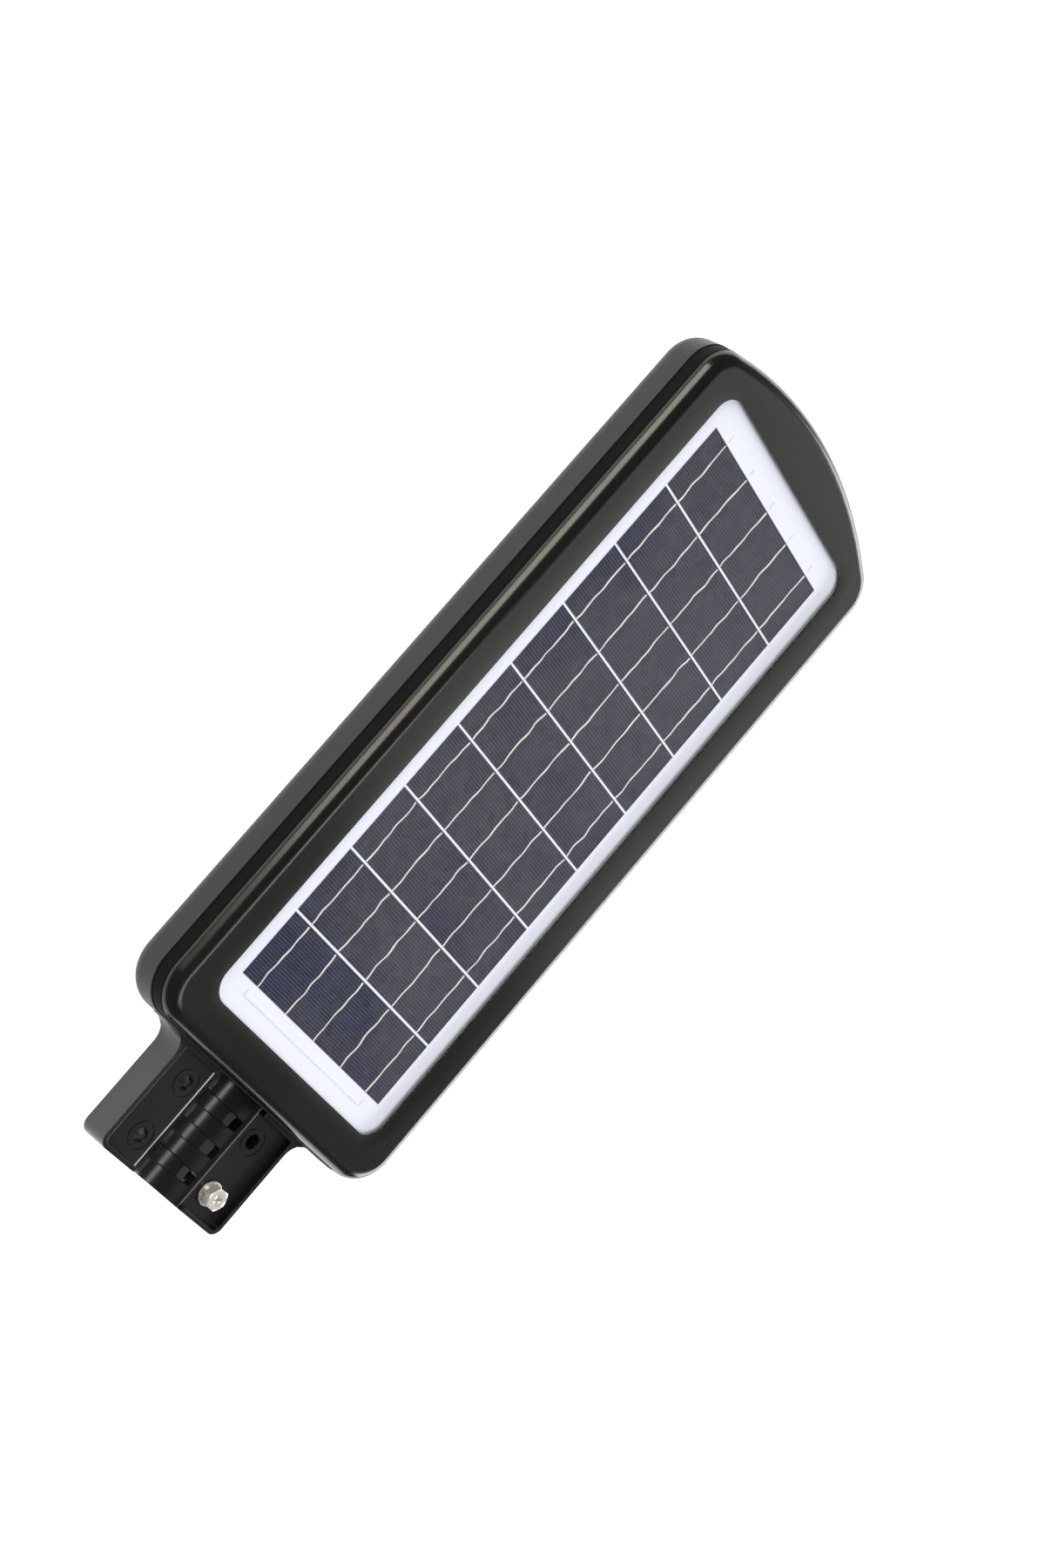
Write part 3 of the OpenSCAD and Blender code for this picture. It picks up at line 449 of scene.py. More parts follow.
class Finish:
    """The nodes of one material, or of the world."""

    def __init__(self, name, world=None):
        self.block = world or bpy.data.materials.new(name)
        self.block.use_nodes = True
        self.tree = self.block.node_tree
        self.tree.nodes.clear()
        self.output = self.tree.nodes.new("ShaderNodeOutput" + ("World" if world else "Material"))

    def add(self, kind, settings=None, sockets=None, out=0):
        """Adds a node: its settings first, then its sockets' values or links. Gives one output."""
        node = self.tree.nodes.new(kind)
        for key, value in (settings or {}).items():
            if key == "stops":
                for place, shade in value[len(node.color_ramp.elements):]:
                    node.color_ramp.elements.new(place)
                for element, (place, shade) in zip(node.color_ramp.elements, value):
                    element.position, element.color = place, (*shade, 1.0)
            else:
                setattr(node, key, value)
        for key, value in (sockets or {}).items():
            if isinstance(value, Value):
                self.tree.links.new(value.socket, node.inputs[key])
            elif isinstance(value, tuple) and node.inputs[key].type == "RGBA" and len(value) == 3:
                node.inputs[key].default_value = (*value, 1.0)
            else:
                node.inputs[key].default_value = value
        return Value(self, node.outputs[out])

    def place(self):
        return self.add("ShaderNodeTexCoord", out="Object")

    def across(self, vector):
        node = self.add("ShaderNodeSeparateXYZ", sockets={0: vector}).socket.node
        return [Value(self, output) for output in node.outputs]

    def noise(self, scale, detail=3.0, rough=0.5, where=None):
        return self.add("ShaderNodeTexNoise", {}, {
            "Vector": where or self.place(), "Scale": scale, "Detail": detail, "Roughness": rough})

    def blend(self, share, first, second):
        settings = {"data_type": "RGBA", "blend_type": "MIX", "clamp_factor": True}
        return self.add("ShaderNodeMix", settings, {0: share, 6: first, 7: second}, out=2)

    def ramp(self, value, stops):
        return self.add("ShaderNodeValToRGB", {"stops": stops}, {0: value})

    def bump(self, height, depth, strength=1.0):
        return self.add("ShaderNodeBump", {}, {
            "Strength": strength, "Distance": depth * MM, "Height": height})

    def plain(self, **sockets):
        """The main shader, with the sockets named as they are shown."""
        named = {name.replace("_", " "): value for name, value in sockets.items()}
        return self.add("ShaderNodeBsdfPrincipled", {}, named)

    def end(self, shader):
        self.tree.links.new(shader.socket, self.output.inputs["Surface"])
        return self.block


SPARK_PITCH = 0.45


def lighter(shade, by):
    return tuple(min(1.0, c * by) for c in shade)


def moulded(name, shade, rough=0.3, grain=0.012, level=0.5, tint=None, mottle=0.18):
    """Moulded plastic: a faint flow mottle, a fine spark-eroded grain and small rub marks."""
    f = Finish(name)
    here = f.place()
    flow = f.noise(9.0, 4.0, 0.55, here)
    speck = f.noise(1.0 / (SPARK_PITCH * MM), 2.0, 0.6, here)
    rub = f.noise(55.0, 6.0, 0.7, here)
    base = f.blend(flow, lighter(shade, 1 - mottle), lighter(shade, 1 + mottle))
    base = f.blend((rub > 0.66) * 0.25, base, lighter(shade, 1.9))
    sockets = {"Base_Color": base, "Roughness": rough + (flow - 0.5) * 0.10 + (speck - 0.5) * 0.06,
               "Specular_IOR_Level": level, "Normal": f.bump(speck, grain)}
    if tint:
        sockets["Specular_Tint"] = (*tint, 1.0)
    return f.end(f.plain(**sockets))


def metal(name, shade, rough=0.25, streak=0.1, grain=0.004, scale=(1, 1, 1), share=1.0):
    """Plated metal: cloudy plating, drawn marks and small dull spots."""
    f = Finish(name)
    here = f.add("ShaderNodeMapping", {}, {"Vector": f.place(), "Scale": Vector(scale)})
    cloud = f.noise(160.0, 4.0, 0.6, here)
    marks = f.noise(900.0, 5.0, 0.7, here)
    base = f.blend(cloud, lighter(shade, 0.84), lighter(shade, 1.12))
    base = f.blend((marks > 0.64) * 0.35, base, lighter(shade, 0.55))
    return f.end(f.plain(Base_Color=base, Metallic=share, Roughness=rough + (cloud - 0.5) * streak
                         + (marks - 0.5) * 0.12, Normal=f.bump(marks, grain)))


def rubber(name, shade, rough=0.6):
    """Soft matte rubber or wire insulation with dust in its grain."""
    f = Finish(name)
    here = f.place()
    dust = f.noise(120.0, 5.0, 0.65, here)
    speck = f.noise(2600.0, 2.0, 0.5, here)
    base = f.blend(dust, lighter(shade, 0.8), lighter(shade, 1.3))
    return f.end(f.plain(Base_Color=base, Roughness=rough + (dust - 0.5) * 0.2,
                         Normal=f.bump(speck, 0.02)))


def clear(name, tint, share=1.0, rough=0.05, wave=0.002, scale=30.0, haze=0.0, body=0.03):
    """A clear sheet: light goes through, and gloss lies on it by the angle."""
    f = Finish(name)
    here = f.place()
    ripple = f.noise(scale, 2.0, 0.5, here)
    through = f.add("ShaderNodeBsdfTransparent", {}, {"Color": tint})
    gloss = f.plain(Base_Color=f.blend(ripple, lighter(tint, body * 0.9), lighter(tint, body)),
                    Roughness=rough + (ripple - 0.5) * 0.04, Normal=f.bump(ripple, wave))
    edge = f.add("ShaderNodeFresnel", {}, {"IOR": 1.42})
    front = 1.0 - f.add("ShaderNodeNewGeometry", out="Backfacing")
    return f.end(f.add("ShaderNodeMixShader", {}, {
        0: edge * front * share + haze, 1: through, 2: gloss}))


def circuit(name, shade, trace, pitch=2.4):
    """A circuit board: masked copper tracks, pads and a satin solder mask."""
    f = Finish(name)
    here = f.place()
    x, y = f.across(here)[:2]
    bend = f.noise(60.0, 1.0, 0.4, here)
    half_track = 0.5 * MM
    track = ((x + (bend * 0.004)).fold(pitch * MM) < half_track) * (
        f.noise(45.0, 0.0, 0.5, here) > 0.5)
    cross = ((y + (bend * 0.003)).fold(pitch * 1.6 * MM) < half_track) * (
        f.noise(38.0, 0.0, 0.5, here) < 0.48)
    pad = (x.fold(1.27 * MM) * x.fold(1.27 * MM) + y.fold(1.27 * MM) * y.fold(1.27 * MM)) < 0.00000016
    pads = pad * (f.noise(70.0, 0.0, 0.5, here) > 0.6)
    lines = track + cross
    base = f.blend(lines, shade, trace)
    base = f.blend(pads, base, (0.55, 0.52, 0.45))
    return f.end(f.plain(Base_Color=base, Roughness=0.38 + (bend - 0.5) * 0.2, Metallic=pads * 0.8,
                         Normal=f.bump(lines, 0.03)))


def cell_finish(colours):
    """Silicon cells: slate violet with navy patches, fine printed fingers and a crystal fleck."""
    f = Finish("solar_cell_blue")
    here = f.place()
    x, y = f.across(here)[:2]
    first_y = PANEL_Y - CELLS / 2 * CELL_PITCH
    row = ((y - first_y * MM) / (CELL_PITCH * MM)).floor()
    own = f.add("ShaderNodeCombineXYZ", {}, {0: x * 7.0 + row * 3.7, 1: row * 5.3 + y * 9.0, 2: row})
    patch = f.noise(1.4, 2.0, 0.5, own)
    first = (row < 0.5) * (0.62 - x * 4.0)
    deep = f.ramp(patch + first * 0.30 - (row > 6.5) * 0.08 - x * 0.9,
                  [(0.50, (0, 0, 0)), (0.78, (1, 1, 1))])
    crystal = f.add("ShaderNodeTexVoronoi", {"feature": "F1"}, {"Vector": here, "Scale": 210.0},
                    out="Color")
    fleck = f.across(crystal)[0]
    slate = f.blend(fleck, lighter(colours.silicon, 0.86), lighter(colours.silicon, 1.14))
    navy = f.blend(fleck, lighter(colours.silicon_deep, 0.8), lighter(colours.silicon_deep, 1.25))
    base = f.blend(deep, slate, navy)
    finger = y.fold(0.95 * MM) < 0.00011
    dots = x.fold(0.85 * MM) < 0.0003
    base = f.blend(finger * 0.22 + finger * dots * 0.25, base, (0.30, 0.30, 0.36))
    return f.end(f.plain(Base_Color=base, Roughness=0.34 + fleck * 0.10, Specular_IOR_Level=0.25,
                         Normal=f.bump(finger, 0.01)))


def ribbon_finish(name, shade, rough=0.45):
    """Tinned copper ribbon: dull solder with bright ripples along it."""
    f = Finish(name)
    here = f.place()
    ripple = f.noise(420.0, 4.0, 0.65, here)
    broad = f.noise(60.0, 2.0, 0.5, here)
    base = f.blend(ripple, lighter(shade, 0.72), lighter(shade, 1.22))
    return f.end(f.plain(Base_Color=f.blend(broad * 0.5, base, lighter(shade, 0.8)), Metallic=0.10,
                         Roughness=rough + (ripple - 0.5) * 0.3, Normal=f.bump(ripple, 0.03)))


def laminate_finish(shade):
    """White laminate: a soft bluish white with a faint woven print of the back sheet."""
    f = Finish("white_laminate")
    here = f.place()
    x, y = f.across(here)[:2]
    cloud = f.noise(14.0, 3.0, 0.5, here)
    weave = x.fold(0.6 * MM) * (1.0 / (0.6 * MM)) + y.fold(0.6 * MM) * (1.0 / (0.6 * MM))
    base = f.blend(cloud, lighter(shade, 0.97), lighter(shade, 1.03))
    return f.end(f.plain(Base_Color=base, Roughness=0.5 + (cloud - 0.5) * 0.15, Specular_IOR_Level=0.3,
                         Normal=f.bump(weave, 0.001, 0.3)))


def sleeve_finish():
    """Blue shrink sleeve round a battery cell, glossy with tight wrinkles near the ends."""
    f = Finish("battery_sleeve_blue")
    here = f.add("ShaderNodeMapping", {}, {"Vector": f.place(), "Scale": Vector((1.0, 0.15, 1.0))})
    wrinkle = f.noise(260.0, 4.0, 0.6, here)
    cloud = f.noise(40.0, 2.0, 0.5)
    base = f.blend(cloud, (0.03, 0.17, 0.42), (0.06, 0.28, 0.6))
    return f.end(f.plain(Base_Color=base, Roughness=0.22 + wrinkle * 0.14,
                         Normal=f.bump(wrinkle, 0.05)))


def emitter_finish():
    """Emitter: a white body with a yellow phosphor window, in a regular grid."""
    f = Finish("emitter_phosphor")
    here = f.place()
    edge = 0.010 - (f.across(here)[0] - 0.010).fold(0.010)
    speck = f.noise(1500.0, 2.0, 0.5, here)
    base = f.blend(speck, (0.86, 0.66, 0.10), (0.98, 0.82, 0.22))
    return f.end(f.plain(Base_Color=base, Roughness=0.35 + edge * 3.0, Normal=f.bump(speck, 0.02)))


def milky_finish():
    """Milky plastic that light sinks into a little."""
    f = Finish("dome_milky")
    haze = f.noise(300.0, 3.0, 0.5)
    return f.end(f.plain(
        Base_Color=f.blend(haze, (0.82, 0.82, 0.80), (0.92, 0.92, 0.90)), Roughness=0.28 + haze * 0.1,
        Subsurface_Weight=0.25, Subsurface_Radius=(0.004, 0.004, 0.004), Normal=f.bump(haze, 0.01)))


# ---------------------------------------------------------------- operators

class LAMP_OT_camera(bpy.types.Operator):
    """Places the camera."""

    bl_idname = "lamp.camera"
    bl_label = "Camera"

    def execute(self, context):
        data = bpy.data.cameras.new("camera")
        data.sensor_fit, data.sensor_width, data.sensor_height = "AUTO", 36.0, 36.0
        data.lens, data.clip_start, data.clip_end = 63.5, 0.01, 60.0
        camera = bpy.data.objects.new("camera", data)
        stand = point(-1155.4, -8.7, 1078.2)
        turn = Euler([math.radians(angle) for angle in (-29.85926, -39.28950, 55.98149)])
        camera.matrix_world = Matrix.LocRotScale(stand, turn, None)
        context.scene.collection.objects.link(camera)
        context.scene.camera = camera
        return {"FINISHED"}


class LAMP_OT_cover(bpy.types.Operator):
    """Moulds the top cover: rounded edge, bevelled opening, hollow inside with screw bosses."""

    bl_idname = "lamp.cover"
    bl_label = "Top cover"

    def execute(self, context):
        sizes, colours = context.scene.lamp_sizes, context.scene.lamp_colours
        edge, bevel = sizes.cover_edge / MM, sizes.cover_bevel / MM
        drop = sizes.cover_bevel_drop / MM
        cover = body_slab("top_cover_moulding", PARTING_Z, FACE_Z - PARTING_Z, 0)
        soften(cover, at_level(FACE_Z), edge, 12)
        opening = plate("opening", (0, PANEL_Y), (OPENING_W + 2 * bevel, OPENING_L + 2 * bevel),
                        OPENING_R + bevel, FACE_Z, 2)
        pick(opening, "FACE", lambda c, n: n.z < -0.9)
        bpy.ops.mesh.inset(thickness=bevel * MM, depth=drop * MM, use_even_offset=True)
        move(0, 0, -(FACE_Z - drop - LIP_Z + 1))
        tidy_solid()
        inside = body_slab("inside", PARTING_Z + 3, LIP_Z - PARTING_Z - 3, 3)
        soften(inside, at_level(LIP_Z), 6.4, 6)
        combine(cover, [inside, body_slab("mouth", PARTING_Z - 1, 4.2, 7.5)])
        wall = plate("rib", (0, PANEL_Y), (198.95, 466.55), 3, 5.3, LIP_Z - 5.3 + 0.4)
        combine(wall, [plate("rib_inside", (0, PANEL_Y), (195.95, 463.55), 1.5, 4.3, LIP_Z - 4.3)])
        bosses = [post("boss", p, 4.5, PARTING_Z, LIP_Z + 0.3) for p in COVER_SCREWS]
        combine(cover, [wall] + gathered(bosses), "UNION")
        bores = [post("bore", p, 1.5, PARTING_Z - 1, 4.0, 20) for p in COVER_SCREWS]
        combine(cover, [opening] + gathered(bores))
        # Painted shade: the cover's lower outer wall gets a second finish, darker and almost without
        # gloss, so that it reads as a wall lying in shadow.
        painted_shade_wall = moulded("cover_wall_painted_shade", (0.003, 0.003, 0.003), 0.6, 0.02, 0.05)
        done(cover, "top_cover_moulding", "lamp",
             moulded("cover_plastic_black", colours.cover, 0.21, 0.008, 0.5, (1.0, 0.99, 0.93)),
             ["top_cover"], 28)
        cover.data.materials.append(painted_shade_wall)
        # The faces of the lower outer wall take the painted-shade finish.
        for face in cover.data.polygons:
            if abs(face.normal.z) < 0.32 and face.center.z < (FACE_Z - edge * 0.6) * MM:
                face.material_index = 1
        return {"FINISHED"}


class LAMP_OT_housing(bpy.types.Operator):
    """Moulds the lower housing: rounded bottom edge, light window, screw and fitting holes."""

    bl_idname = "lamp.housing"
    bl_label = "Lower housing"

    def execute(self, context):
        sizes, colours = context.scene.lamp_sizes, context.scene.lamp_colours
        step, edge = sizes.housing_step / MM, sizes.housing_edge / MM
        root_y = NEAR_Y - step
        tray = body_slab("lower_housing_moulding", BOTTOM_Z, PARTING_Z - BOTTOM_Z, -step)
        soften(tray, at_level(BOTTOM_Z), edge, 10)
        soften(tray, at_level(PARTING_Z), 0.35, 2)
        pad = drawn("arm_pad", ARM_BOTTOM_Z, PARTING_Z - 1 - ARM_BOTTOM_Z, (-76, root_y),
                    [(76, root_y), (76, NEAR_Y + 12), (-76, NEAR_Y + 12), (-76, root_y)])
        combine(tray, [pad], "UNION")
        low = body_slab("low_inside", FLOOR_Z, 16.0, 3)
        soften(low, at_level(FLOOR_Z), 8.0, 6)
        combine(tray, [low, body_slab("high_inside", PARTING_Z - 5.2, 6.2, 7.5)])
        groove = body_slab("seal_groove", PARTING_Z - 2.5, 3.5, 3.2)
        combine(groove, [body_slab("seal_core", PARTING_Z - 3.5, 5.5, 6.0)])
        low_z = FLOOR_Z - 0.5
        posts = [post("boss", p, 4.5, low_z, PARTING_Z - 0.03) for p in COVER_SCREWS]
        posts += [post("board_post", (12 + x * 50, 108.5 + y * 28), 3, low_z, -17.5)
                  for x in (-1, 1) for y in (-1, 1)]
        posts += [post("sensor_post", (s * 20, DOME_AT[1]), 3, low_z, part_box("sensor_board")[0].z / MM)
                  for s in (-1, 1)]
        posts += [post("strap_post", (s * 88.5, 188.75), 3.5, low_z, -5.8) for s in (-1, 1)]
        pad = plate("light_pad", (0, LIGHT_Y), (203, 183), 6, low_z, 3.5)
        seats = [post("lens_boss", p, 3.4, -25, -18.5) for p in LENS_SCREWS]
        combine(tray, gathered(posts) + [pad] + gathered(seats), "UNION")
        holes = [turned("screw_hole", p, [
            (0, BOTTOM_Z - 1), (4.0, BOTTOM_Z - 1), (4.0, BOTTOM_Z), (3.5, BOTTOM_Z + 0.5),
            (3.5, -20.5), (1.75, -20.5), (1.75, PARTING_Z + 1), (0, PARTING_Z + 1)], 32)
            for p in COVER_SCREWS]
        holes += [post("fitting_hole", at, r, BOTTOM_Z - 1, FLOOR_Z + 1, 48) for at, r in (
            (DOME_AT, 12.1), (SWITCH_AT, 8.1), (VENT_AT, 5.1), (INDICATOR_AT, 2.6),
            (RECEIVER_AT, 4.1))]
        holes += [lay_down(post("arm_screw_hole", (x, ARM_SCREW_Z), 2.2, -52, -30, 24), 0)
                  for x in ARM_SCREW_XS]
        lens_holes = [post("lens_hole", p, 1.3, -26, -19, 20) for p in LENS_SCREWS]
        combine(tray, [groove] + gathered(holes) + [
            plate("lens_seat", (0, LIGHT_Y), (196, 176), 5, BOTTOM_Z - 1, 5),
            plate("window", (0, LIGHT_Y), (168, 148), 3, BOTTOM_Z - 1, 8)] + gathered(lens_holes))
        done(tray, "lower_housing_moulding", "lamp",
             moulded("housing_plastic_grey", colours.housing, 0.42, 0.02, 0.23),
             ["lower_housing"], 28)
        return {"FINISHED"}


class LAMP_OT_arm(bpy.types.Operator):
    """Moulds the pole arm: tray, pole groove with rounded lips, strap channels, slots and holes."""

    bl_idname = "lamp.arm"
    bl_label = "Pole arm"

    def execute(self, context):
        sizes, colours = context.scene.lamp_sizes, context.scene.lamp_colours
        r, lip, width = sizes.groove / MM, sizes.lip / MM, sizes.channel / MM
        root = NEAR_Y - sizes.housing_step / MM
        top = RIM_Z + 2
        wide, neck, hollow, turn_x, turn_y = 73.5, 61.5, 58.5, 54.5, -30
        arm = drawn("pole_arm_moulding", ARM_BOTTOM_Z, RIM_Z - ARM_BOTTOM_Z, (-wide, root), [
            (-wide, root - 12, -90), (-neck, turn_y), (-turn_x, turn_y, 90), (turn_x, -37),
            (turn_x, turn_y, 90), (neck, root - 12), (wide, root - 12, -90), (-wide, root)])
        for z, soft in ((RIM_Z, 0.7), (ARM_BOTTOM_Z, 1.2)):
            soften(arm, lambda a, b: at_level(z)(a, b) and min(a.y, b.y) < root - 3, soft, 3)

        def inside(name, z, height):
            return drawn(name, z, height, (-hollow, root - 3.5), [
                (-hollow, turn_y), (-turn_x, turn_y, 90), (turn_x, -34), (turn_x, turn_y, 90),
                (hollow, root - 3.5), (-hollow, root - 3.5)])

        combine(arm, [inside("tray", LAND_Z, 10), inside("under", ARM_BOTTOM_Z - 1, 14.1)])
        shell = lay_down(drawn("shell", 0, 72.9, (-28, 0), [
            (0, 0, 180), (28, LAND_Z + 20), (-28, LAND_Z + 20), (-28, 0)], 3.0), root - 0.5)
        combine(shell, [drawn("shell_top", LAND_Z - 0.01, 40, (-90, -90), [
            (90, -90), (90, 90), (-90, 90), (-90, -90)])])
        bosses = [post("boss", p, 9.7, -25, LAND_Z - 1, 40) for p in BOLT_PLACES]
        screw_bosses = [lay_down(post("screw_boss", (x, ARM_SCREW_Z), 4, 0, 9, 24), root - 1)
                        for x in ARM_SCREW_XS]
        combine(arm, [shell] + gathered(bosses) + gathered(screw_bosses), "UNION")

        lip_z = LAND_Z - lip
        lip_x = math.sqrt((r + lip) ** 2 - lip_z ** 2)
        lean = math.degrees(math.atan2(-lip_z, lip_x))
        groove = drawn("groove", 0, 90, (-lip_x, LAND_Z), [
            (-lip_x, lip_z, lean - 90), (0, 0, 180 - 2 * lean), (lip_x, lip_z, lean - 90),
            (lip_x, top), (-lip_x, top), (-lip_x, LAND_Z)], 3.0)
        reach = r + 1.5
        fall = -math.sqrt(reach ** 2 - SLOT_X ** 2)
        turn = 2 * math.degrees(math.asin(SLOT_X / reach))
        channels = [lay_down(drawn("channel", 0, width, (-SLOT_X, fall), [
            (0, 0, turn), (SLOT_X, LAND_Z), (-SLOT_X, LAND_Z), (-SLOT_X, fall)], 3.0), y + width / 2)
            for y in STRAP_YS]
        slots = [plate("slot", (s * SLOT_X, y), (5.5, 8.0), 1.4, ARM_BOTTOM_Z - 1, 30, 15)
                 for y in STRAP_YS for s in (-1, 1)]
        holes = [turned("hole", p, [
            (0, -29), (4.5, -29), (4.5, LAND_Z - 0.4), (4.9, LAND_Z), (4.9, -5), (0, -5)], 48)
            for p in BOLT_PLACES]
        ring_z = LAND_Z - 0.35
        rings = [turned("ring", p, [(8.3, ring_z), (9.2, ring_z), (9.2, -6), (8.3, -6)], 48, True)
                 for p in BOLT_PLACES]
        corner = POCKET_ACROSS_FLATS / 2 / math.cos(math.pi / 6)
        pockets = [post("pocket", p, corner, ARM_BOTTOM_Z - 1, LAND_Z - 3.97, 6) for p in BOLT_PLACES]
        bores = [lay_down(post("screw_bore", (x, ARM_SCREW_Z), 1.8, -2, 9.5, 20), root - 1)
                 for x in ARM_SCREW_XS]
        groups = (channels, slots, holes, rings, pockets, bores)
        combine(arm, [lay_down(groove, 45)] + [cut for group in groups for cut in gathered(group)])
        soft = sizes.soft_edge / MM
        soften(arm, lambda a, b: at_level(RIM_Z)(a, b) and max(abs(a.x), abs(b.x)) < hollow + 0.1
               and min(a.y, b.y) > -34.1, soft)

        def on_wall(p):
            return abs(math.hypot(p.x, p.z) - r) < 0.05 and abs(p.x) < SLOT_X - 2.5

        soften(arm, lambda a, b: abs(a.y - b.y) < 0.01 and on_wall(a) and on_wall(b) and any(
            abs(abs(a.y - y) - width / 2) < 0.05 for y in STRAP_YS), 0.9, 3)
        done(arm, "pole_arm_moulding", "lamp",
             moulded("arm_plastic_black", colours.arm, 0.22, 0.008, 0.55), ["pole_arm"], 30)
        return {"FINISHED"}


def cross(name, at, z, length_, width, depth, turn=0.0):
    """A cross-shaped cutter for a screw head."""
    a, b = length_ / 2, width / 2
    shape = drawn(name, z - depth, depth + 1, (-b, -a), [
        (b, -a), (b, -b), (a, -b), (a, b), (b, b), (b, a), (-b, a), (-b, b), (-a, b), (-a, -b),
        (-b, -b), (-b, -a)])
    return put(shape, (at[0], at[1], 0), (0, 0, turn))


def hexagon(name, at, across_flats, z0, z1, chamfer_low=False):
    """A hexagon with its corners turned down to a cone on one or both faces."""
    r = across_flats / 2 / math.cos(math.pi / 6)
    block = post(name, at, r, z0 - 1, z1 + 1, 6)
    flat = across_flats / 2 * 0.97
    fall = (r + 0.3 - flat) * math.tan(math.radians(28))
    profile = [(0, z0), (flat, z0), (r + 0.3, z0 + fall)] if chamfer_low else [(0, z0), (r + 0.3, z0)]
    profile += [(r + 0.3, z1 - fall), (flat, z1), (0, z1)]
    return combine(block, [turned("cone", at, profile, 64)], "INTERSECT")


def threaded(r, z0, z1, pitch=1.25):
    """The profile of a threaded shank, from its tip up."""
    root = r - 0.62 * pitch
    profile = [(0, z0), (root, z0), (r - 0.1, z0 + pitch)]
    z = z0 + pitch
    while z + pitch < z1 - 1.5:
        profile += [(r, z + 0.15 * pitch), (root, z + 0.55 * pitch), (r, z + 0.95 * pitch)]
        z += pitch
    return profile + [(r, z1), (0, z1)]


class LAMP_OT_fasteners(bpy.types.Operator):
    """Makes the clamp bolt with its washers and its nut."""

    bl_idname = "lamp.fasteners"
    bl_label = "Clamp bolt and washers"

    def execute(self, context):
        steel = context.scene.lamp_colours.steel
        at = FITTED_BOLT
        bright = metal("bolt_plating", steel, 0.24, 0.14, 0.003, share=0.6)
        head_z = LAND_Z + 3.6
        bolt = hexagon("clamp_bolt_steel", at, BOLT_ACROSS_FLATS, head_z, head_z + 5.3)
        combine(bolt, [cross("recess", at, head_z + 5.3, 6.4, 1.4, 2.4, 30),
                       turned("dish", at, [(0, head_z + 4.9), (2.2, head_z + 5.0), (3.4, head_z + 5.4),
                                           (3.4, head_z + 6), (0, head_z + 6)], 40)])
        combine(bolt, [turned("shank", at, threaded(3.99, -27.3, head_z + 0.5), 40)], "UNION")
        done(bolt, "clamp_bolt_steel", "bolt", bright, ["clamp_bolt"], 35)
        z = LAND_Z + 1.6
        spring = turned("spring_washer_steel", at, [(4.1, z + 0.15), (4.3, z + 0.02), (6.2, z + 0.02),
                                                    (6.4, z + 0.25), (6.4, z + 1.75), (6.2, z + 1.98),
                                                    (4.3, z + 1.98), (4.1, z + 1.85)], 64, True)
        side, middle_r = 200, 5.5
        away = Matrix.Rotation(math.radians(side), 2) @ Vector((middle_r, 0))
        combine(spring, [put(plate("gap", (0, 0), (5, 0.8), 0.1, z - 1, 4),
                             (at[0] + away.x, at[1] + away.y, 0), (0, 8, side))])
        done(spring, "spring_washer_steel", "bolt_carrier",
             metal("spring_plating", lighter(steel, 0.85), 0.28, 0.14, share=0.75),
             ["spring_washer"], 35)
        outside = rounded(8, LAND_Z + 0.01, LAND_Z + 1.58, 0.3)
        flat = turned("flat_washer_steel", at, [(4.3, LAND_Z + 0.01)] + outside + [
            (4.5, LAND_Z + 1.58), (4.2, LAND_Z + 1.3), (4.2, LAND_Z + 0.3)], 64, True)
        done(flat, "flat_washer_steel", "lamp",
             metal("washer_plating", lighter(steel, 0.92), 0.26, 0.16, share=0.75),
             ["flat_washer"], 35)
        nut = hexagon("clamp_nut_steel", at, BOLT_ACROSS_FLATS, -21.4, -14.92, True)
        combine(nut, [turned("bore", at, [
            (0, -22), (4.6, -22), (4.06, -20.8), (4.06, -15.6), (4.6, -14.4), (0, -14.4)], 48)])
        done(nut, "clamp_nut_steel", "lamp",
             metal("nut_plating", lighter(steel, 0.9), 0.3), ["clamp_nut"], 35)
        return {"FINISHED"}


